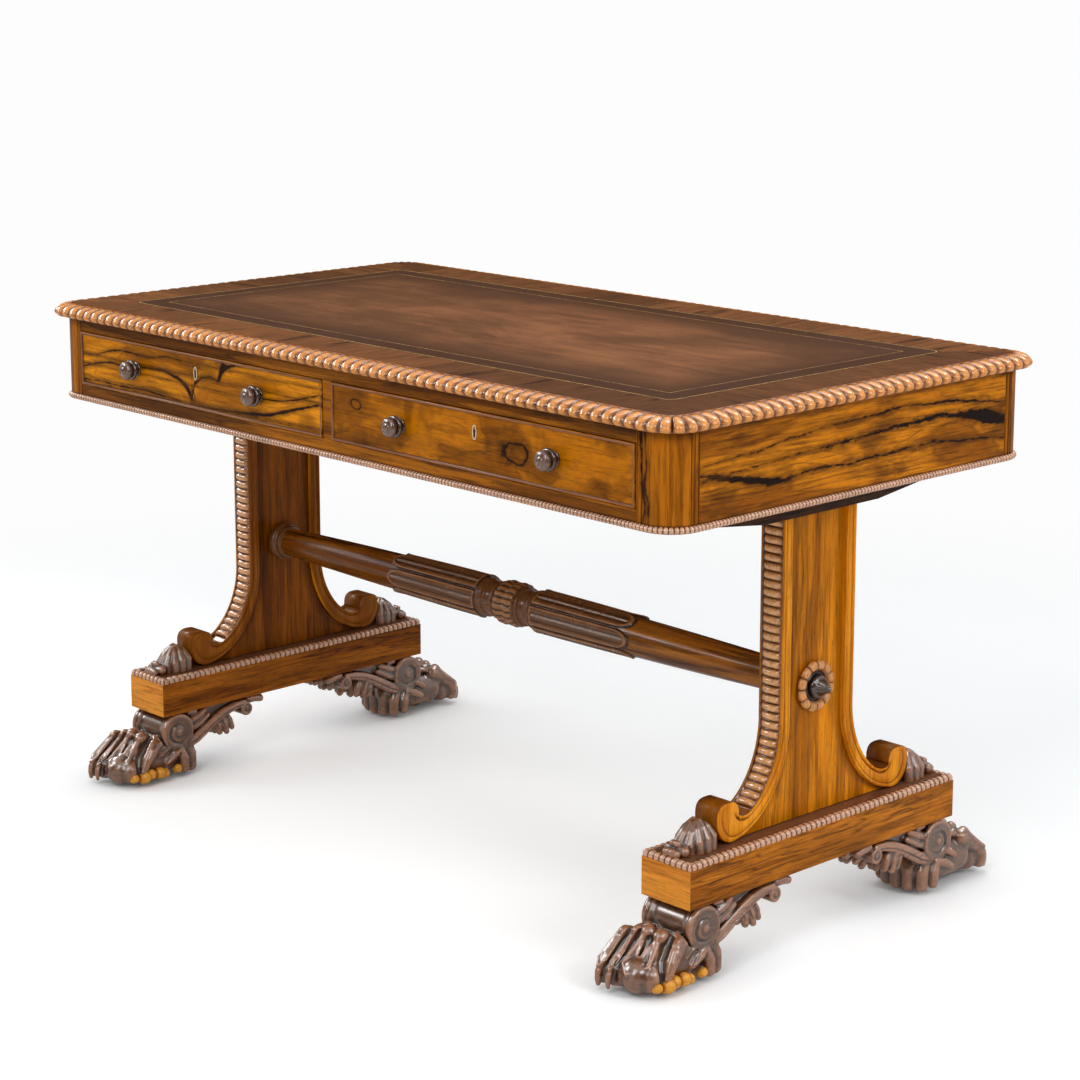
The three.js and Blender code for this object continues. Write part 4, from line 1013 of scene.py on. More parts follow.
def bandPaths(look):
    # the two edges of one scrolled band, in (reach, height), from the bearer down to the roll
    low, flareZ = look["low"], look["low"] + look["flare"]
    inner, outer = look["halfWidth"] - look["band"], look["halfWidth"]
    roll, r = look["reach"] - look["roll"], look["roll"]
    rollZ = low + look["scrollHeight"] - r
    seat, throat = roll - r / 2, roll - r
    bandTop = low + look["band"] + look["panelSink"]
    t = np.linspace(0, 1, sweepSteps)
    angle = np.linspace(0, math.pi, 40)
    under = np.concatenate([
        np.array([(inner, look["high"]), (inner, flareZ)]),
        bezier((inner, flareZ), (inner, low + look["innerFlare"] * look["flare"]),
               (inner + look["innerSweep"] * (seat - inner), low + look["innerRise"] * look["flare"]),
               (seat, low), t)[1:],
        bezier((seat, low), (roll + r / 2, low), (look["reach"], rollZ - look["rollTurn"] * r),
               (look["reach"], rollZ), t)[1:],
        np.stack([roll + r * np.sign(np.cos(angle)) * np.abs(np.cos(angle)) ** (2 / look["squareness"]),
                  rollZ + r * np.sin(angle) ** (2 / look["squareness"])], -1)[1:],
    ])
    hook = throat - look["hook"] * r
    over = np.concatenate([
        np.array([(outer, look["high"]), (outer, flareZ)]),
        bezier((outer, flareZ), (outer, low + look["outerFlare"] * look["flare"]),
               (outer + look["outerSweep"] * (throat - outer), bandTop + look["outerRise"] * look["flare"]),
               (hook, bandTop), t)[1:],
        bezier((hook, bandTop), (hook + 0.6 * (throat - hook), bandTop), (throat, bandTop + 0.2 * r),
               (throat, rollZ), t)[1:],
    ])
    return under, over


def bandSection(look):
    # columns: share of the way to the lobed edge, x, rise off it, how much of a lobe, of a groove
    half, lobeHalf, margin = look["halfThickness"], look["lobeHalf"], look["margin"]
    section = [(share, half + out, 0, 0, 0) for share, out in look["face"]]
    section += [(1, half + out, sink, 0, 0) for out, sink in look["rim"]]
    section += [(1, lobeHalf + look["marginGap"], -margin, 0, 1)]
    mirrored = [(share, -x, *rest) for share, x, *rest in reversed(section)]
    strip = [(1, lobeHalf * s, -margin, math.sqrt(max(0, 1 - abs(s) ** 2.4)), 0)
             for s in np.cos(np.linspace(0, math.pi, 17))]
    return np.array(section + strip + mirrored, float)


def makeBand(look, side, hand, name):
    under, over = bandPaths(look)
    shares = np.linspace(0, 1, look["rows"])
    # the rows of the two edges keep step down the leg, then fan round the roll
    low, length = resample(over, shares)
    straight = look["high"] - look["low"] - look["flare"]
    travelUnder = travelAlong(under)
    landing = travelUnder[sweepSteps] / travelUnder[-1]      # where the under edge meets the platform
    underShares = np.interp(shares, [0, straight / length, 0.9, 1],
                            [0, straight / travelUnder[-1], landing, 1])
    high, _ = resample(under, underShares)
    section = bandSection(look)
    share, x, sink, lobe, groove = section.T
    half, pitch = look["halfThickness"], look["lobePitch"]
    fade = 1 - step(shares, *look["fade"])
    travel = shares * length
    onLobes = (travel < int(look["lobesEnd"] * length / pitch) * pitch).astype(float)
    back = np.sqrt(np.clip(1 - np.abs(2 * (travel / pitch % 1) - 1) ** 2.2, 0, 1)) * onLobes
    faded = np.sign(x) * (half + (np.abs(x) - half) * fade[:, None])
    across = np.where(share < 1, faded, x)
    drop = sink * fade[:, None] + lobe * look["lobeRise"] * back[:, None] * fade[:, None]
    reach = (high[:, None] * (1 - share)[:, None] + low[:, None] * share[:, None]
             + ((share == 1) * drop)[..., None] * leftOf(low)[:, None])
    points = np.stack([side * look["middleX"] + across, hand * reach[..., 0], reach[..., 1]], -1)
    # painted shade between the lobes and in the groove at the margin
    hollow = (lobe * (1 - back[:, None]) ** 0.8 * onLobes[:, None] + groove * 0.9) * fade[:, None]
    quirkFrom, quirkTo = look["quirk"]
    # darker on the roll; painted shade on the rim beside the lobes, in the quirk and in the line
    for amount, rows, columns in (
            (look["rollDark"], step(shares, *look["rollUnder"]), share < 0.02),
            (look["rollDark"], step(shares, *look["rollOver"]), share > 0.98),
            (look["rimShade"], fade, (share > 0.9) & (lobe == 0)),
            (look["quirkShade"], fade, (share > quirkFrom) & (share < quirkTo)),
            (look["lineShade"], fade, np.abs(share - look["line"]) < 0.01)):
        hollow = hollow + amount * rows[:, None] * columns
    piece = makePiece(name, points.reshape(-1, 3), capped(len(shares), len(section)), "band",
                      marks={"hollow": np.clip(hollow, 0, 1), "crest": back[:, None] * lobe})
    strip = np.flatnonzero((share == 1) & (np.abs(x) < half - 2))
    row, column = gridPlaces(len(shares), len(section))
    secondFinish(piece, "lobe", (column >= strip[0]) & (column < strip[-1]) & (shares[row] < 0.97))


def makePanel(look, side, name):
    # the sunk panel with the web that fills the foot of each scroll, in level rows
    half = look["halfThickness"] - look["panelSink"]
    inner, foot = look["halfWidth"] - look["band"], look["reach"] - 1.5 * look["roll"]
    low, flareZ = look["low"], look["low"] + look["flare"]
    curve = bandPaths(look)[0][2:sweepSteps]
    levels = np.concatenate([[low], np.geomspace(0.4, look["flare"] - 4, 30) + low,
                             np.linspace(flareZ, look["high"], 12)])
    reach = np.interp(levels, curve[::-1, 1], curve[::-1, 0])
    reach = np.where(levels > flareZ, inner, np.minimum(reach, foot)) + 3
    shares = look["panelShares"]
    rows, columns = len(levels), len(shares)
    face = np.array([(y * s, z) for y, z in zip(reach, levels) for s in shares])
    # painted shade on the panel beside the bands, where they stand over it
    edge = np.repeat(reach, columns)
    dirt = look["dirt"] * step(np.abs(face[:, 0]), edge - look["dirtFrom"], edge - look["dirtTo"])
    points = [(side * look["middleX"] + s * half, y, z) for s in (-1, 1) for y, z in face]
    far = rows * columns
    border = (list(range(columns)) + [r * columns + columns - 1 for r in range(1, rows)]
              + list(range(far - 2, far - columns - 1, -1)) + [r * columns for r in range(rows - 2, 0, -1)])
    faces = gridFaces(rows, columns) + gridFaces(rows, columns, start=far)
    faces += [[a, b, b + far, a + far] for a, b in zip(border, border[1:] + border[:1])]
    makePiece("upright_panel_" + name, points, faces, "upright", replaces=["upright_" + name],
              marks={"hollow": np.tile(dirt, 2)}, smooth=False)


def makeUprights():
    for name, side in sides:
        for depth, hand in depths:
            makeBand(uprightLook, side, hand, f"scroll_band_{depth}_{name}")
        makePanel(uprightLook, side, name)


makeUprights()
print("uprights built")


# pateras

pateraLook = {"out": 565.3, "height": 334, "count": 240,
              "petals": 12, "petalCut": (18.5, 27), "petalDrop": 3.2,
              "scallop": 0.07, "scallopAt": (24, 33), "pit": (14.5, 20.5),
              # the boss is cut with flats, like a turned button
              "flats": 8, "flatDepth": 0.09, "flatsFrom": (12.5, 15), "bossRadius": 14, "bossEdge": 16.5,
              "rim": ((30.5, 0), (32.5, 1.0), (34, 3.2), (33.6, 6.0), (31.0, 8.4), (27.5, 9.2), (24.0, 8.4),
                      (21.0, 5.6), (19.4, 3.0), (19.4, 3.0), (17.4, 2.6), (15.8, 3.4), (15.8, 3.4),
                      (16.0, 7.0), (15.4, 10.5), (13.4, 13.0), (13.4, 13.0), (12.4, 13.6), (10.0, 18.0),
                      (6.2, 24.0), (3.0, 28.2), (1.2, 29.7), (0.01, 30))}


def makePateras():
    look = pateraLook
    profile = smoothProfile(look["rim"], 4)
    profile[:, 0] = np.clip(profile[:, 0], 0.01, None)
    radius, out = profile[:, 0:1], profile[:, 1:2]
    angle = np.arange(look["count"]) / look["count"]
    valley = 1 - bump(angle * look["petals"])
    cut = step(radius, *look["petalCut"])
    flat = np.abs((angle * look["flats"] % 1) - 0.5) * 2
    onBoss = step(out, *look["flatsFrom"]) * (radius < look["bossRadius"])
    shape = ((1 - look["scallop"] * valley * step(radius, *look["scallopAt"]))
             * (1 - look["flatDepth"] * flat * onBoss))
    pitFrom, pitTo = look["pit"]
    pit = (radius > pitFrom) & (radius < pitTo)
    # painted shade in the valleys between the petals and in the pit round the boss; painted highlight on the
    # petals
    marks = {"hollow": np.clip(valley ** 1.5 * cut + pit, 0, 1), "crest": (1 - valley) * cut}
    row, _ = gridPlaces(len(profile), look["count"])
    for name, side in sides:
        centre = (side * look["out"], 0, look["height"])
        points, faces = lathe(profile * (1, side), look["count"], "X", centre, shape)
        points[:, 0] -= (side * look["petalDrop"] * valley ** 1.4 * cut).ravel()
        piece = makePiece("carved_patera_" + name, points, faces, "petal",
                          replaces=["patera_" + name], marks=marks)
        # the boss and the cap at its tip are darker
        secondFinish(piece, "knob", np.append(profile[row, 0] < look["bossEdge"], (False, True)))


makePateras()


# the stretcher: ringed ends, poles, lappets, a fluted knop

stretcherLook = {
    "height": 334, "count": 204, "stepLappet": 1.7, "stepPole": 5, "poleFrom": 270, "ringsFrom": 519,
    # a lappet is a long leaf laid along the pole, half round at its tip, with a rim and two flutes
    "lappets": 6, "radius": 30, "gap": 1.0, "butt": 58, "tipStart": 226, "tip": 256, "lift": 2.8,
    "border": 3.0, "rimRise": 0.8, "rimWidth": 1.6, "fluteApart": 4.3, "fluteDepth": 1.9,
    "knop": 21.5, "knopEase": 4, "knopRibs": 10, "knopDepth": 2.2,
    # half of the turning: place along and radius
    "turning": ((0, 30.5), (6, 32.2), (12, 32.8), (18, 31.0), (21.5, 27.0), (22.5, 25.5), (22.5, 25.5),
                (24.5, 28.0), (27.5, 28.2), (29, 25.5), (29, 25.5), (31, 23.8), (38, 23.2), (44, 24.4),
                (46, 26.0), (46, 26.0), (48.5, 28.4), (51.5, 28.4), (53.5, 26.5), (53.5, 26.5), (56, 27.6),
                (60, 29.0), (80, 29.3), (140, 29.0), (200, 28.3), (262, 27.3), (340, 26.0), (430, 24.0),
                (500, 22.2), (514, 21.8), (519, 22.0), (520, 23.4), (520, 23.4), (522, 25.4), (525, 25.8),
                (527, 24.4), (527, 24.4), (529, 25.2), (533, 29.0), (537, 30.0), (540.5, 29.4),
                (541.7, 28.6)),
}


def makeStretcher():
    look = stretcherLook
    half = smoothProfile(look["turning"], 5)
    dense = []
    for a, b in zip(half[:-1], half[1:]):
        fineness = look["stepLappet"] if a[0] < look["poleFrom"] else look["stepPole"]
        parts = max(1, int(abs(b[0] - a[0]) / fineness))
        dense += [a + (b - a) * i / parts for i in range(parts)]
    dense = np.array(dense + [half[-1]])
    profile = np.concatenate([dense[::-1] * (-1, 1), dense[1:]])
    along, radius = np.abs(profile[:, 0:1]), profile[:, 1:2]
    angle = np.arange(look["count"]) / look["count"] * turn
    sector = turn / look["lappets"]
    # distance from the middle line of the nearest lappet, and how wide that lappet is there
    offset = np.abs((angle / sector + 0.5) % 1 - 0.5) * sector * look["radius"]
    widest = sector * look["radius"] / 2 - look["gap"]
    tip = np.clip((along - look["tipStart"]) / (look["tip"] - look["tipStart"]), 0, 1)
    width = widest * np.where(tip < 1, (1 - tip ** 2.0) ** 0.5, 0)
    oval = widest - np.hypot(offset, np.clip(along - look["tipStart"], 0, None) * 0.5)
    inside = np.minimum(np.minimum(oval, width - offset + 2), along - look["butt"])
    body = step(inside, 0, 2.4)
    rim = np.exp(-((inside - look["border"] * 0.6) / look["rimWidth"]) ** 2)
    reeds = np.abs(np.sin(offset / look["fluteApart"] * math.pi / 2)) ** 1.5
    reeds = (np.where(offset > 2 * look["fluteApart"], 0, reeds)
             * step(inside, look["border"] + 0.6, look["border"] + 2.4))
    onKnop = step(look["knop"] - along, 0, look["knopEase"])
    ribs = np.abs(np.cos(angle * look["knopRibs"])) ** 0.7
    lift = (look["lift"] * body + look["rimRise"] * rim * body - look["fluteDepth"] * reeds
            + onKnop * (look["knopDepth"] * ribs - look["knopDepth"]))
    grown = radius + lift
    points = np.stack([np.repeat(profile[:, 0:1], look["count"], 1), grown * np.cos(angle),
                       look["height"] + grown * np.sin(angle)], -1)
    # painted shade round the lappets, in their flutes and in the knop's grooves; painted highlight on the
    # rims, lappets and ribs
    near = np.exp(-(np.clip(inside, -9, 9) / 1.5) ** 2)
    between = (along > look["butt"]) & (along < look["tip"])
    hollow = np.clip(0.9 * near * between + onKnop * (1 - ribs) ** 1.2 + 0.5 * reeds, 0, 1)
    crest = np.clip(rim * body + 0.4 * body * (1 - reeds) + onKnop * ribs, 0, 1)
    faces = capped(len(profile), look["count"])
    piece = makePiece("turned_stretcher", points.reshape(-1, 3), faces, "pole",
                      replaces=["stretcher"], marks={"hollow": hollow, "crest": crest})
    row, column = gridPlaces(len(profile), look["count"])
    place = along[row, 0]
    secondFinish(piece, "turned",
                 (place < look["butt"] + 1) | (place > look["ringsFrom"]) | (inside[row, column] > -0.8))


makeStretcher()
print("stretcher turned")


# platforms: block, beaded top edge, leaf brackets

platformLook = {
    "middleX": 553.5, "halfWidth": 42.5, "reach": 260, "low": 102.5, "high": 161.5, "corner": 1.5,
    "pitch": 9.7, "stationsPerBead": 12, "deepCut": 2.4, "rebate": (8, 7.5), "rebateShrink": 0.97,
    # lid: the under and upper face inside the beads, down from the top
    "lidInset": 12.2, "lid": (8.2, 0.9),
    # section of the beaded edge: out from the side, height from the top, depth of the cut between beads
    "edge": ((-12, -2.0, 0), (-10.6, -0.6, 0.6), (-8.4, 0.6, 2.0), (-5.4, 1.0, 3.2), (-2.4, 0.3, 3.6),
             (-0.4, -1.6, 3.6), (0.5, -4.2, 3.6), (0.2, -6.8, 2.8), (-1.0, -8.6, 1.2), (-3, -9.4, 0)),
    "edgeBack": ((-6, 9), (-13, 5)),
}


def makePlatforms():
    look = platformLook
    x, y, low, high = look["halfWidth"], look["reach"], look["low"], look["high"]
    length = walkLength(x, y, look["corner"])
    count = round(length / look["pitch"])
    rows = count * look["stationsPerBead"]
    distance = np.arange(rows) / rows * length
    back = bump(distance / length * count)[:, None]
    fine = smoothProfile(look["edge"], 3)
    curve, cut = fine[:, :2], fine[:, 2]
    section = curve - leftOf(curve) * ((1 - back) * cut)[..., None] + (0, high)
    section = backed(section, [(out, high - down) for out, down in look["edgeBack"]])
    beads = sweepRound(*edgeWalk(x, y, look["corner"], distance), section)
    depth = np.clip(cut / look["deepCut"], 0, 1)
    # painted shade between the beads, painted highlight on their backs
    hollow, crest = [np.pad(share * depth, ((0, 0), (0, 2))) for share in (1 - back, back)]
    outline = ((-x, -y), (x, -y), (x, y), (-x, y))
    inset = look["lidInset"]
    inner = [(px * (1 - inset / x), py * (1 - inset / y)) for px, py in outline]
    rebateLow, rebateHigh = look["rebate"]
    levels = ((low, 1), (high - rebateLow, 1), (high - rebateHigh, look["rebateShrink"]))
    for name, side in sides:
        middle = side * look["middleX"]
        block = [(middle + px * s, py * (1 - (1 - s) * x / y), z) for z, s in levels for px, py in outline]
        body = makePiece("platform_block_" + name, block, capped(3, 4), "platform",
                         replaces=["platform_" + name], smooth=False)
        secondFinish(body, "platform_end", [abs(face.normal.y) > 0.9 for face in body.data.polygons])
        softEdges(body, 0.8)
        lid = [(middle + px, py, high - down) for down in look["lid"] for px, py in inner]
        makePiece("platform_top_" + name, lid, capped(2, 4), "platform_top", smooth=False)
        faces = gridFaces(rows, section.shape[1], True, True)
        makePiece("platform_beads_" + name, beads + (middle, 0, 0), faces, "bead",
                  marks={"hollow": hollow ** 1.4, "crest": crest})


def standing(points, side, hand):
    # turns (along, across, up) into a place on the left or right platform, front or back
    along, across, up = points.T
    return np.stack([side * platformLook["middleX"] - hand * across, hand * along, up], -1)


shellLook = {
    "voxel": 0.9, "low": (184, -30, 158), "high": (262, 30, 208), "under": 160.2,
    "mirrored": ("ribs", "rolls"),
    "core": ((((206, 0, 165, 16), (207, 0, 182, 11)), 4),),
    # upright lobes that fan round the mound and meet at its crown
    "ribs": (
        (((195, 17, 163, 6.6), (194, 16, 178, 6.8), (198, 10, 190, 5.8), (204, 5, 196, 4.4)), 1.2),
        (((206, 19, 163, 6.4), (206, 18, 177, 6.6), (206, 11, 190, 5.6), (206, 5, 197, 4.4)), 1.2),
        (((217, 17, 163, 6.4), (218, 16, 175, 6.6), (214, 10, 188, 5.6), (209, 4, 196, 4.4)), 1.2),
        (((226, 10, 163, 6.4), (228, 9.5, 172, 6.6), (221, 7, 185, 5.6), (212, 3, 195, 4.4)), 1.2),
        (((231, 0, 163, 6.2), (232, 0, 171, 6.4), (225, 0, 184, 5.6), (214, 0, 194, 4.4)), 1.0),
    ),
    # the bud in front: small rolls that lie across
    "rolls": ((((240, 4, 168, 7.6), (240, 13, 167.5, 6.6)), 0.8),
              (((250, 3, 166, 6.0), (250, 9, 165.5, 5.2)), 0.8),
              (((243, 3, 176, 4.6), (243, 4, 176, 4.6)), 0.8)),
}


def makeShells():
    # a curled leaf with a bud before it, in the lap of each scroll
    look = shellLook
    carving = Carving(look["low"], look["high"], look["voxel"])
    carving.spines(look, "core", "ribs", "rolls")
    carving.trimUnder(look["under"])
    points, quads, marks = carving.skin()
    for depth, hand in depths:
        for name, side in sides:
            makePiece(f"carved_shell_{depth}_{name}", standing(points, side, hand), quads.tolist(), "carved",
                      marks=marks)


makePlatforms()
print("platforms built")


# feet: lion's paw, volute and leaf, modelled as one blended solid on a fine grid

# Places are (along, across, up): along runs from the middle of the table out to the toes, across is
# from the foot's own middle line. Each spine is a run of (along, across, up, radius) and a blend.
footLook = {
    "voxel": 1.4, "low": (44, -52, 1), "high": (354, 52, 106),
    "leafLow": (44, -60, 30), "leafHigh": (268, 60, 120),      # the part that the volute and its leaf take up
    "body": (
        (((214, -12, 37, 25), (258, -14, 36, 28), (290, -16, 36, 27)), 8),
        (((214, 12, 37, 25), (258, 15, 36, 28), (288, 14, 36, 26)), 8),
        (((232, 0, 42, 22), (262, 0, 44, 20), (280, -4, 56, 16)), 8),
        (((318, -20, 24, 18), (312, 8, 24, 19)), 6),
    ),
    "toes": (
        # two narrow far toes, the broad near one that ends in a big round pad, and the one that is set back
        (((294, -30, 60, 13), (310, -32, 52, 10.5), (325, -33.5, 41, 9.5), (333, -34, 29, 10.5),
          (333, -34, 18, 10)), 4.5),
        (((288, -12, 62, 14), (304, -14, 54, 10.5), (320, -15, 42, 9.5), (331, -15.5, 29, 9.5),
          (332, -15.5, 18, 9)), 4.5),
        (((280, 8, 60, 17), (297, 8, 52, 15), (308, 8, 41, 13.5)), 4.5),
        (((320, 1, 25, 19), (318, 10, 26, 22.5), (311, 23, 25, 19)), 3.0),
        (((268, 31, 58, 12.5), (281, 37, 52, 10.5), (290, 40, 42, 8.8), (296, 41.5, 32, 7.4),
          (298, 42, 27, 5.6)), 4.5),
    ),
    "webs": (
        (((302, -22, 55, 7), (322, -24, 38, 7.5), (331, -25, 22, 8)), 3.0),
        (((300, -5, 55, 8), (317, -7, 38, 8), (327, -8.5, 22, 9)), 3.0),
        (((284, 26, 52, 8), (298, 30, 38, 9), (300, 36, 22, 8)), 3.0),
    ),
    "ridges": (
        # the knuckles stand up like balls, with cords that run apart down each toe
        (((299, -31, 67, 8.0), (301, -31, 66, 8.0)), 2.2), (((293, -14, 71, 8.0), (295, -14, 70, 8.0)), 2.2),
        (((289, 0, 73, 9.0), (291, 0, 72, 9.0)), 2.2), (((284, 17, 70, 9.5), (287, 17, 69, 9.5)), 2.2),
        (((275, 35, 61, 7.5), (278, 36, 60, 7)), 2.2),
        (((302, -35, 67, 3.8), (317, -40, 53, 3.2), (335, -41, 40, 2.6)), 2.0),
        (((303, -28, 67, 3.8), (319, -28, 53, 3.2), (336, -28, 40, 2.6)), 2.0),
        (((297, -17, 70, 3.8), (314, -20, 55, 3.2), (334, -21, 40, 2.6)), 2.0),
        (((297, -11, 70, 3.8), (314, -11, 55, 3.2), (334, -10.5, 40, 2.6)), 2.0),
        (((294, 0, 72, 5.0), (310, -3, 57, 4.0), (321, -4, 48, 3.2), (329, -5, 41, 2.8)), 2.0),
        (((290, 18, 69, 5.0), (302, 22, 56, 4.2), (312, 26, 48, 3.2), (319, 28, 41, 2.8)), 2.0),
        (((256, 18, 64, 4.4), (264, 24, 68, 5.0), (272, 30, 64, 4)), 3.0),
        (((256, -16, 64, 4.4), (268, -22, 70, 5.0), (280, -28, 68, 4)), 3.0),
        # the sheath of each claw: a raised V on the front of the toe
        (((335, -41, 40, 1.8), (345, -34, 33, 1.9), (337, -28, 40, 1.8)), 1.0),
        (((335, -21, 40, 1.8), (344, -15.5, 32, 1.9), (335, -10.5, 40, 1.8)), 1.0),
        (((329, -5, 41, 2.6), (339, 10, 33, 3.0), (319, 28, 41, 2.6)), 1.2),
    ),
    "claws": (
        (((337, -34, 32, 4.4), (342.5, -34, 26, 5.0), (344, -34, 17, 4.4), (343.6, -34, 9.5, 3.2)), 1.4),
        (((337, -15.5, 31, 4.2), (342.5, -16, 25, 4.8), (344, -16, 17, 4.2), (343.4, -16, 9.5, 3.0)), 1.4),
        (((298, 42.5, 31, 3.8), (303, 43.5, 25, 3.2), (303, 43.5, 20, 2.2)), 1.2),
    ),
    "creases": (
        (((298, -22.5, 71, 3.0), (308, -23.5, 61, 3.6), (325, -24.5, 46, 1.8), (342, -25, 30, 1.6),
          (344, -25, 6, 2.4)), 5.0),
        (((296, -8, 72, 3.4), (304, -8, 62, 5.0), (318, -9, 49, 2.8), (337, -11.5, 34, 1.8),
          (342, -11, 6, 2.4)), 5.0),
        (((297, 9, 68, 3.6), (304, 9, 58, 2.4), (312, 9, 50, 1.2)), 5.0),
        (((276, 26, 68, 3.0), (287, 29, 60, 4.2), (301, 33, 47, 3.0), (306, 38, 34, 2.2),
          (308, 44, 10, 2.2)), 5.0),
        (((288, 47, 30, 2.0), (276, 46, 41, 2.6), (262, 46, 49, 2.4), (250, 42, 57, 2.0)), 4.0),
        (((246, 47, 20, 1.8), (238, 46, 34, 2.0), (228, 42, 47, 1.8)), 2.4),
        (((268, 47, 18, 1.8), (258, 47.5, 32, 2.0), (246, 46, 44, 1.6)), 2.4),
    ),
    "leaves": (
        # folds in front of the volute
        (((240, 34, 56, 6.0), (254, 39, 54, 6.5), (266, 42, 46, 4.4)), 2.4),
        (((228, 40, 44, 6.0), (244, 43, 40, 6.5), (258, 45, 32, 4.4)), 2.4),
        # the leaf that sheathes the heel
        (((208, 0, 52, 10), (197, 0, 34, 10.5), (196, 0, 14, 9.5)), 1.4),
        (((209, 17, 52, 10), (199, 18, 34, 10.5), (198, 18, 14, 9.5)), 1.4),
        (((215, 32, 50, 9.5), (207, 34, 33, 10), (206, 34.5, 14, 9)), 1.4),
        (((229, 38, 44, 8), (223, 40.5, 30, 8.5), (222, 41, 15, 7.5)), 1.4),
    ),
    "mirrored": ("leaves", "fingers", "fingerCuts"),
    "voluteCentre": (232, 73.2), "voluteRadius": 29, "voluteHalf": 42.5, "eye": 9.0, "eyeDepth": 6.5,
    "spiral": {"outer": 19.0, "inner": 11.0, "turns": 0.86, "start": 205, "cut": 1.1, "swell": 1.9},
    # the roll of the volute is waisted: less radius inside, a lip at each end and a ring cut beside it
    "waist": 5.5, "waistAt": (22, 36), "lip": 1.8, "lipAt": (40, 42.5), "ring": 1.6, "ringAt": 33.5,
    # a dark line where the roll lies in the leaf, above a slanting level
    "quirkGap": 1.0, "quirkHalf": 1.3, "quirkLevel": 63, "quirkSlant": 0.35,
    # the arm: a ribbon on each side from the volute up to a bud under the platform, its face rounded and
    # with one groove drawn below its middle
    "arm": ((232, 49), (214, 50), (196, 57), (178, 67.5), (160, 77.5), (142, 86), (122, 91.5), (104, 93)),
    "armWide": (8.5, 8.5, 8.6, 8.2, 7.6, 7.0, 6.4, 5.6), "armFrom": 26, "armTo": 42.5,
    "armFall": 2.6, "armFallWidth": 8, "grooveDrop": 2.0, "grooveHalf": 0.8, "grooveDepth": 2.4,
    "bud": (101, 83.5, 10.5), "budProud": 0.8,
    "budSpiral": {"outer": 7.2, "inner": 3.4, "turns": 0.9, "start": 60, "cut": 1.2, "swell": 0.8},
    "backing": ((226, 70), (196, 82), (160, 93), (120, 96), (74, 98)), "backingWide": (26, 20, 12, 8, 5),
    "backingHalf": 30,
    "fingers": (
        # the hanging fan under the arm
        (((160, 30, 78, 8.5), (153, 34, 66, 7.5), (150, 35, 55, 5.0)), 1.2),
        (((150, 32, 82, 8.0), (142, 36, 66, 7.0), (138, 37, 54, 4.8)), 1.2),
        (((141, 31, 84, 7.5), (131, 34, 69, 6.6), (126, 35, 58, 4.4)), 1.2),
        (((160, 15, 78, 9.0), (150, 16, 63, 8.0), (145, 16, 52, 5.2)), 1.2),
        (((146, 16, 84, 8.5), (135, 17, 66, 7.5), (129, 17, 54, 5.0)), 1.2),
        (((158, 0, 76, 9.5), (147, 0, 60, 8.5), (141, 0, 50, 5.6)), 1.2),
        (((140, 0, 84, 9.0), (127, 0, 66, 8.0), (120, 0, 55, 5.2)), 1.2),
        # the leaf that curls at the inner end
        (((92, 33, 96, 6.5), (80, 34, 96, 6.5), (69, 34, 93, 5.5)), 1.4),
        (((90, 20, 96, 8.0), (74, 21, 95, 8.0), (61, 21, 90, 6.0)), 1.4),
        (((88, 5, 96, 8.5), (70, 6, 95, 8.5), (56, 6, 89, 6.5)), 1.4),
        (((100, 18, 90, 8.0), (90, 19, 82, 7.5), (84, 19, 75, 5.0)), 1.4),
        (((102, 4, 90, 9.0), (90, 4, 80, 8.0), (84, 4, 73, 5.4)), 1.4),
        # small leaves that fill between the volute and the platform
        (((206, 33, 84, 7.0), (190, 34, 90, 6.5), (178, 33, 96, 5.0)), 1.4),
        (((204, 34, 72, 6.0), (188, 35, 79, 6.0), (172, 34, 87, 4.6)), 1.4),
        (((196, 32, 98, 5.5), (206, 33, 99, 5.0)), 1.4),
    ),
    "fingerCuts": (
        (((160, 38, 74, 1.2), (152, 42, 56, 1.1)), 0.8), (((148, 39, 76, 1.2), (140, 43, 56, 1.1)), 0.8),
        (((137, 38, 78, 1.2), (128, 41, 60, 1.1)), 0.8),
        (((156, -6, 64, 1.2), (146, -6, 50, 1.1)), 0.8), (((156, 22, 66, 1.2), (148, 24, 52, 1.1)), 0.8),
        (((198, 40, 77, 1.1), (184, 40.5, 84, 1.1), (174, 39, 90, 1.0)), 0.8),
        (((206, 39.5, 88, 1.1), (190, 40, 95, 1.1)), 0.8),
        (((203, 7, 52, 1.3), (190, 8.5, 32, 1.3), (188, 9, 8, 1.3)), 0.8),
        (((206, 26, 54, 1.3), (194, 29, 33, 1.3), (192, 29, 8, 1.3)), 0.8),
        (((214, 42, 52, 1.3), (206, 45, 33, 1.3), (205, 45, 8, 1.3)), 0.8),
    ),
    "well": {"along": 268, "radius": 31.2, "top": 40.3, "socket": 4.6, "socketTop": 59.6},
    "platformUnder": 102.2, "floor": 5,
    # bright bosses low on the side of each front foot
    "bossLow": (222, 30, 2), "bossHigh": (322, 56, 30), "bossVoxel": 1.2, "bossUnder": 4.5,
    "bosses": ((314, 41.0, 17, 6.2), (297, 42.5, 16.0, 9.6), (287, 43.0, 18.5, 8.6), (270, 43.5, 17.5, 8.8),
               (261, 43.5, 15.5, 7.4), (236, 42.5, 17, 6.6)),
}


def chainDistance(p, spine):
    # distance to a run of cones joined end to end
    best = None
    for a, b in zip(spine[:-1], spine[1:]):
        start, along = a[:3], b[:3] - a[:3]
        t = np.clip(((p - start) @ along) / max(along @ along, 1e-6), 0, 1)
        gap = np.linalg.norm(p - start - t[..., None] * along, axis=-1) - (a[3] + t * (b[3] - a[3]))
        best = gap if best is None else np.minimum(best, gap)
    return best


def blendIn(field, shape, k):
    near = np.clip(1 - np.abs(field - shape) / k, 0, None)
    return np.minimum(field, shape) - near * near * k / 4


def cutOut(field, shape, k):
    return -blendIn(-field, shape, k)


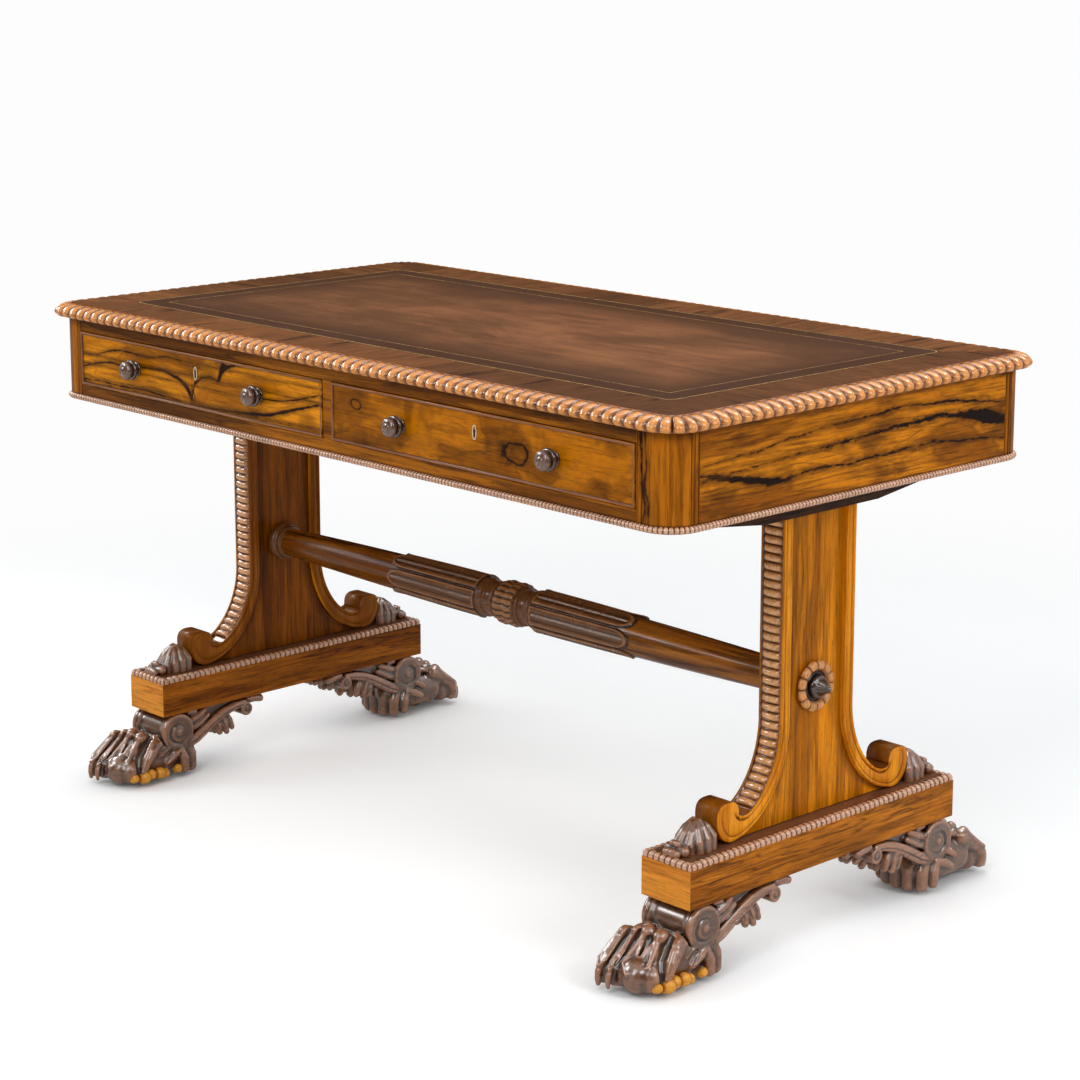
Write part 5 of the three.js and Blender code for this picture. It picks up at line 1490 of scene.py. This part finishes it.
class Carving:
    # a distance field that spines are blended into or cut out of
    def __init__(self, low, high, voxel):
        self.voxel = voxel
        self.axes = [np.arange(a, b, voxel) for a, b in zip(low, high)]
        self.field = np.full([len(axis) for axis in self.axes], 25.0)

    def window(self, low, high):
        cuts = [slice(max(0, np.searchsorted(axis, l) - 1), np.searchsorted(axis, h) + 1)
                for axis, l, h in zip(self.axes, low, high)]
        grid = np.stack(np.meshgrid(*[axis[c] for axis, c in zip(self.axes, cuts)], indexing="ij"), -1)
        return tuple(cuts), grid

    def spine(self, spine, blend, cutting=False, mirrored=False):
        for side in (1, -1) if mirrored else (1,):
            points = np.array(spine, float) * (1, side, 1, 1)
            room = points[:, 3].max() + blend + 6
            cuts, grid = self.window(points[:, :3].min(0) - room, points[:, :3].max(0) + room)
            join = cutOut if cutting else blendIn
            self.field[cuts] = join(self.field[cuts], chainDistance(grid, points), blend)

    def spines(self, look, *parts, cutting=False):
        for part in parts:
            for spine, blend in look[part]:
                self.spine(spine, blend, cutting, part in look["mirrored"])

    def trimUnder(self, level):
        self.field = np.maximum(self.field, level - self.axes[2])

    def skin(self):
        # points, quads, and how hollow or proud the surface is at each point
        field = np.pad(np.clip(self.field, -12, 12), 1, constant_values=6.0)
        origin = np.array([axis[0] for axis in self.axes]) - self.voxel
        eased = softened(field, 1)
        points, quads = surfaceNet(eased * 0.4 + field * 0.6, origin, self.voxel)
        # painted shade where the surface bends in, painted highlight where it bends out
        bend = sampleField(softened(field, 6) - eased, points, origin, self.voxel) / self.voxel
        marks = {"hollow": np.clip(-bend * 1.7, 0, 1), "crest": np.clip(bend * 2.2 + 0.3, 0, 1)}
        return points, quads, marks


def ribbonDistance(along, up, path, wide):
    best = None
    for (a, b), (wa, wb) in zip(zip(path[:-1], path[1:]), zip(wide[:-1], wide[1:])):
        du, dz = b[0] - a[0], b[1] - a[1]
        t = np.clip(((along - a[0]) * du + (up - a[1]) * dz) / (du * du + dz * dz), 0, 1)
        gap = np.hypot(along - a[0] - t * du, up - a[1] - t * dz) - (wa + t * (wb - wa))
        best = gap if best is None else np.minimum(best, gap)
    return best


def spiralSpine(centre, across, look):
    share = np.linspace(0, 1, 40)
    angle = np.radians(look["start"]) + share * look["turns"] * turn
    radius = look["outer"] + (look["inner"] - look["outer"]) * share ** 0.9
    thick = look["cut"] + look["swell"] * np.sin(share * math.pi)
    along, up = centre[0] + radius * np.cos(angle), centre[1] + radius * np.sin(angle)
    return np.stack([along, np.full(len(share), across), up, thick], -1)


def carveFoot(look):
    carving = Carving(look["low"], look["high"], look["voxel"])
    carving.spines(look, "body", "toes", "webs")
    carving.spines(look, "creases", cutting=True)
    carving.spines(look, "ridges", "claws", "leaves")
    carving.spines(look, "creases", cutting=True)
    carveLeaf(carving, look)
    carving.spines(look, "fingers")
    carving.spines(look, "fingerCuts", cutting=True)
    along, up = look["voluteCentre"]
    eyeTop = look["voluteHalf"] - look["eyeDepth"]
    for side in (1, -1):
        spiral = spiralSpine((along, up), side * (look["voluteHalf"] + 0.2), look["spiral"])
        carving.spine(spiral, 0.6, cutting=True)
        carving.spine([(along - 1, side * across, up, look["eye"]) for across in (eyeTop, eyeTop - 1)], 1.0)
        spiral = spiralSpine(look["bud"][:2], side * (look["armTo"] + 1.0), look["budSpiral"])
        carving.spine(spiral, 0.6, cutting=True)
    trimFoot(carving, look)
    return carving


def carveLeaf(carving, look):
    # the backing behind the arm, then the arm and its bud, then the roll of the volute
    cuts, grid = carving.window(look["leafLow"], look["leafHigh"])
    along, across, up = grid[..., 0], np.abs(grid[..., 1]), grid[..., 2]
    backing = ribbonDistance(along, up, look["backing"], look["backingWide"])
    backing = np.maximum(backing, across - look["backingHalf"])
    arm = ribbonDistance(along, up, look["arm"], look["armWide"])
    fall = look["armFall"] * np.clip(1 + arm / look["armFallWidth"], 0, 1) ** 2
    arm = np.maximum(arm, np.maximum(across + fall - look["armTo"], look["armFrom"] - across))
    line = ribbonDistance(along, up + look["grooveDrop"], look["arm"], [0] * len(look["armWide"]))
    groove = np.maximum(np.abs(line) - look["grooveHalf"], look["armTo"] - look["grooveDepth"] - across)
    arm = np.maximum(arm, -groove)
    budAlong, budUp, budRadius = look["bud"]
    bud = np.maximum(np.hypot(along - budAlong, up - budUp) - budRadius,
                     across - look["armTo"] - look["budProud"])
    middle, height = look["voluteCentre"]
    far = np.hypot(along - middle, up - height)
    rim = (look["voluteRadius"] - look["waist"] * (1 - step(across, *look["waistAt"]))
           - look["lip"] * step(across, *look["lipAt"])
           - look["ring"] * np.exp(-((across - look["ringAt"]) / look["ring"]) ** 2))
    roll = np.maximum(far - rim, across - look["voluteHalf"])
    quirk = np.abs(far - look["voluteRadius"] - look["quirkGap"]) - look["quirkHalf"]
    quirk = np.maximum(quirk, look["quirkLevel"] - up - look["quirkSlant"] * (along - middle))
    field = blendIn(carving.field[cuts], backing, 4)
    field = np.maximum(np.minimum(field, np.minimum(arm, bud)), -quirk)
    carving.field[cuts] = np.minimum(field, roll)


def trimFoot(carving, look):
    # flat under the platform and above the floor, hollowed for the castor
    along, across, up = np.meshgrid(*carving.axes, indexing="ij")
    well = look["well"]
    apart = np.hypot(along - well["along"], across)
    pit = np.maximum(apart - well["radius"], up - well["top"])
    socket = np.maximum(apart - well["socket"], up - well["socketTop"])
    field = np.maximum(carving.field, np.maximum(up - look["platformUnder"], look["floor"] - up))
    carving.field = np.maximum(field, -np.minimum(pit, socket))


def surfaceNet(field, origin, voxel):
    # a smooth quad skin where the field passes through zero
    cells = np.array(field.shape) - 1
    total = np.zeros((cells.prod(), 3))
    count = np.zeros(cells.prod())
    quads = []
    for axis in range(3):
        low, high = [slice(None)] * 3, [slice(None)] * 3
        low[axis], high[axis] = slice(0, -1), slice(1, None)
        a, b = field[tuple(low)], field[tuple(high)]
        found = np.argwhere((a < 0) != (b < 0))
        va, vb = a[tuple(found.T)], b[tuple(found.T)]
        point = found.astype(float)
        point[:, axis] += va / (va - vb)
        ring = []
        for i, j in ((0, 0), (-1, 0), (-1, -1), (0, -1)):
            cell = found.copy()
            cell[:, (axis + 1) % 3] += i
            cell[:, (axis + 2) % 3] += j
            flat = np.ravel_multi_index(cell.T, cells, mode="clip")
            count += np.bincount(flat, minlength=len(count))
            for n in range(3):
                total[:, n] += np.bincount(flat, point[:, n], len(count))
            ring.append(flat)
        quad = np.stack(ring, -1)
        quads.append(np.where((va < 0)[:, None], quad, quad[:, ::-1]))
    used = np.flatnonzero(count)
    number = np.zeros(len(count), int)
    number[used] = np.arange(len(used))
    return total[used] / count[used][:, None] * voxel + origin, number[np.concatenate(quads)]


def softened(field, passes):
    for _ in range(passes):
        for axis in range(3):
            field = (np.roll(field, 1, axis) + 2 * field + np.roll(field, -1, axis)) / 4
    return field


def sampleField(field, points, origin, voxel):
    place = (points - origin) / voxel
    base = np.clip(np.floor(place).astype(int), 0, np.array(field.shape) - 2)
    t = place - base
    value = 0
    for i in (0, 1):
        for j in (0, 1):
            for k in (0, 1):
                weight = abs(1 - i - t[:, 0]) * abs(1 - j - t[:, 1]) * abs(1 - k - t[:, 2])
                value = value + weight * field[base[:, 0] + i, base[:, 1] + j, base[:, 2] + k]
    return value


def carveBosses(look):
    # round bosses, each with a short upright nick in its face
    carving = Carving(look["bossLow"], look["bossHigh"], look["bossVoxel"])
    for along, across, up, radius in look["bosses"]:
        carving.spine(((along, across, up, radius), (along + 1, across - 3, up - 2, radius * 0.9)), 0.5)
        carving.spine(((along + radius * 0.1, across + radius, up - radius * 0.5, 0.9),
                       (along, across + radius, up + radius * 0.6, 0.9)), 0.6, cutting=True)
    carving.trimUnder(look["bossUnder"])
    return carving.skin()


def makeFeet():
    # all four feet are the same pattern; the back ones are turned half round
    points, quads, marks = carveFoot(footLook).skin()
    print("foot skin:", len(quads), "quads")
    bossPoints, bossQuads, bossMarks = carveBosses(footLook)
    for depth, hand in depths:
        for name, side in sides:
            makePiece(f"carved_foot_{depth}_{name}", standing(points, side, hand), quads.tolist(), "carved",
                      replaces=[f"foot_{depth}_{name}"], marks=marks)
            if depth == "front":
                makePiece(f"foot_bosses_{name}", standing(bossPoints, side, hand), bossQuads.tolist(),
                          "golden", marks=bossMarks)


makeFeet()
makeShells()
print("feet carved")


# plain solids of the frame: finishes, and eased edges where they show

plainFinishes = {
    "top_board": "crossband", "writing_leather": "leather",
    "frieze_top_rail": "rail", "frieze_muntin": "rail",
    "bearer_left": "underframe", "bearer_right": "underframe",
    "drawer_runner_centre": "lining_side", "drawer_runner_left": "lining_side",
    "drawer_runner_right": "lining_side",
}
drawerFinishes = {"back": "lining", "bottom": "lining", "side_left": "lining_side",
                  "side_right": "lining_side", "lock_case": "brass", "lock_bolt": "brass"}
for side in ("left", "right"):
    for part, finish in drawerFinishes.items():
        plainFinishes[f"drawer_{side}_{part}"] = finish
    plainFinishes[f"drawer_{side}_front"] = f"drawer_{side}"
    for end in ("front", "back"):
        plainFinishes[f"castor_fork_{end}_{side}"] = "iron"
        plainFinishes[f"castor_wheel_{end}_{side}"] = "brass"

for name, finish in plainFinishes.items():
    solid = nodes[name]
    solid.data.materials.clear()
    solid.data.materials.append(finishes[finish])
    if finish in ("rail", "post", "underframe", "lining", "lining_side", "drawer_left", "drawer_right"):
        softEdges(solid, 0.6, weld=True)
print("frame solids finished")


# floor, light, camera

stageLook = {"size": 60, "paper": ((235, 238, 240), (237, 240, 242)), "backdrop": (253, 253, 253),
             # metres: where the paper turns white, where its glow falls, and how far a foot darkens it
             "sweep": (1.0, 2.4), "glow": 0.45, "glowBehind": 0.2, "glowFall": (-0.2, 0.6),
             "nearShadow": 0.09, "fill": 0.46,
             "aim": (0, 0, 0.45)}          # the place that every lamp points to


def makeFloor():
    look = stageLook
    half = look["size"] / 2
    mesh = bpy.data.meshes.new("floor")
    corners = [(-half, -half, 0), (half, -half, 0), (half, half, 0), (-half, half, 0)]
    mesh.from_pydata(corners, [], [(0, 1, 2, 3)])
    floor = bpy.data.objects.new("floor", mesh)
    bpy.context.scene.collection.objects.link(floor)
    material, tree = newFinish("floor_paper")
    paper = objectPlace(tree)
    matt = node(tree, "BsdfDiffuse", {"Color": mix(tree, paper.noise(3, 2).remap(0.3, 0.7), *look["paper"])})
    seen = node(tree, "LightPath", {}, "Is Camera Ray")
    # the paper sweeps up to a white backdrop away from the table; its glow is lower behind the table and
    # occlusion takes it down close to each foot, as painted shadow
    away = node(tree, "VectorMath", {0: paper}, 1, operation="LENGTH").remap(*look["sweep"])
    clear = node(tree, "AmbientOcclusion", {"Distance": look["nearShadow"]}, 1)
    glow = paper.split()[1].remap(*look["glowFall"], look["glow"], look["glowBehind"]) * clear
    lit = node(tree, "AddShader", {0: matt, 1: node(tree, "Emission", {"Strength": seen * glow})})
    backdrop = node(tree, "Emission", {"Color": tone(look["backdrop"]), "Strength": 1.0})
    node(tree, "OutputMaterial", {"Surface": node(tree, "MixShader", {0: seen * away, 1: lit, 2: backdrop})})
    mesh.materials.append(material)


def makeWorld():
    world = bpy.data.worlds.new("studio")
    bpy.context.scene.world = world
    world.use_nodes = True
    tree = world.node_tree
    tree.nodes.clear()
    camera, glossy, through = [node(tree, "LightPath", {}, f"Is {kind} Ray")
                               for kind in ("Camera", "Glossy", "Transmission")]
    plain = maths("MAXIMUM", camera, maths("MAXIMUM", glossy, through))
    sky = {"Color": (1, 1, 1, 1), "Strength": choose(plain, stageLook["fill"], 1.0)}
    node(tree, "OutputWorld", {"Surface": node(tree, "Background", sky)})


softboxes = {
    # place in metres, size, power, and whether only reflections see it (for the sparkle on the carving)
    "key": ((1.4, -3.0, 2.9), 1.5, 38, False),
    "right": ((3.4, 0.3, 2.2), 1.2, 34, False),
    "left": ((-2.8, -1.8, 2.4), 1.4, 24, False),
    "above": ((0.0, 0.8, 3.4), 1.8, 37, False),
    "shineLeft": ((-3.2, -0.1, 1.9), 0.9, 40, True),
    "shineFront": ((-2.0, -2.1, 2.1), 0.8, 34, True),
    "shineAbove": ((0.8, 1.5, 3.2), 0.9, 40, True),
    "shineRight": ((3.4, -1.4, 2.6), 0.6, 24, True),
    "shineNear": ((1.3, -3.6, 1.9), 0.5, 18, True),
}
# dark cards that only reflections see: one behind the table, so the top isn't veiled by the white, and
# two behind the camera, as the dark room is there; place, half width and height, turn
darkCards = {
    "behind": ((-2.7, 2.6, 1.3), (2.2, 1.6), 46.6),
    "camera": ((3.9, -3.6, 1.9), (3.2, 2.4), 46.6),
    "front": ((-2.6, -4.4, 1.9), (2.6, 2.4), -31.7),
}


def makeCards():
    material, tree = newFinish("black_felt")
    nap = objectPlace(tree).noise(300, 2)
    closeFinish(tree, mix(tree, nap, (8, 8, 8), (22, 21, 20)), 1.0, [(nap, 0.5)], specular=0.0)
    for name, (place, (across, tall), turned) in darkCards.items():
        mesh = bpy.data.meshes.new("black_card_" + name)
        mesh.from_pydata([(-across, 0, -tall), (across, 0, -tall), (across, 0, tall), (-across, 0, tall)], [],
                         [(0, 1, 2, 3)])
        mesh.materials.append(material)
        card = bpy.data.objects.new("black_card_" + name, mesh)
        card.location = place
        card.rotation_euler.z = math.radians(turned)
        bpy.context.scene.collection.objects.link(card)
        for kind in ("camera", "diffuse", "shadow", "transmission", "volume_scatter"):
            setattr(card, "visible_" + kind, False)


def makeLights():
    for name, (place, size, power, shineOnly) in softboxes.items():
        light = bpy.data.lights.new("softbox_" + name, "AREA")
        light.shape = "SQUARE"
        light.size = size
        light.energy = power
        lamp = bpy.data.objects.new("softbox_" + name, light)
        lamp.location = place
        lamp.visible_diffuse = not shineOnly
        aim = Vector(stageLook["aim"]) - Vector(place)
        lamp.rotation_euler = aim.to_track_quat("-Z", "Y").to_euler()
        bpy.context.scene.collection.objects.link(lamp)


cameraLook = {"place": (2.7629, -2.5645, 1.3326), "turned": 46.6, "down": 11.2, "lens": 89.98, "shiftY": -0.1}


def makeCamera():
    look = cameraLook
    lens = bpy.data.cameras.new("camera")
    lens.lens = look["lens"]
    lens.sensor_width = 36
    lens.shift_y = look["shiftY"]
    camera = bpy.data.objects.new("camera", lens)
    camera.location = look["place"]
    camera.rotation_euler = (math.radians(90 - look["down"]), 0, math.radians(look["turned"]))
    bpy.context.scene.collection.objects.link(camera)
    bpy.context.scene.camera = camera


makeFloor()
makeWorld()
makeLights()
makeCards()
makeCamera()
bpy.context.scene.view_settings.view_transform = "Standard"
print("stage lit")
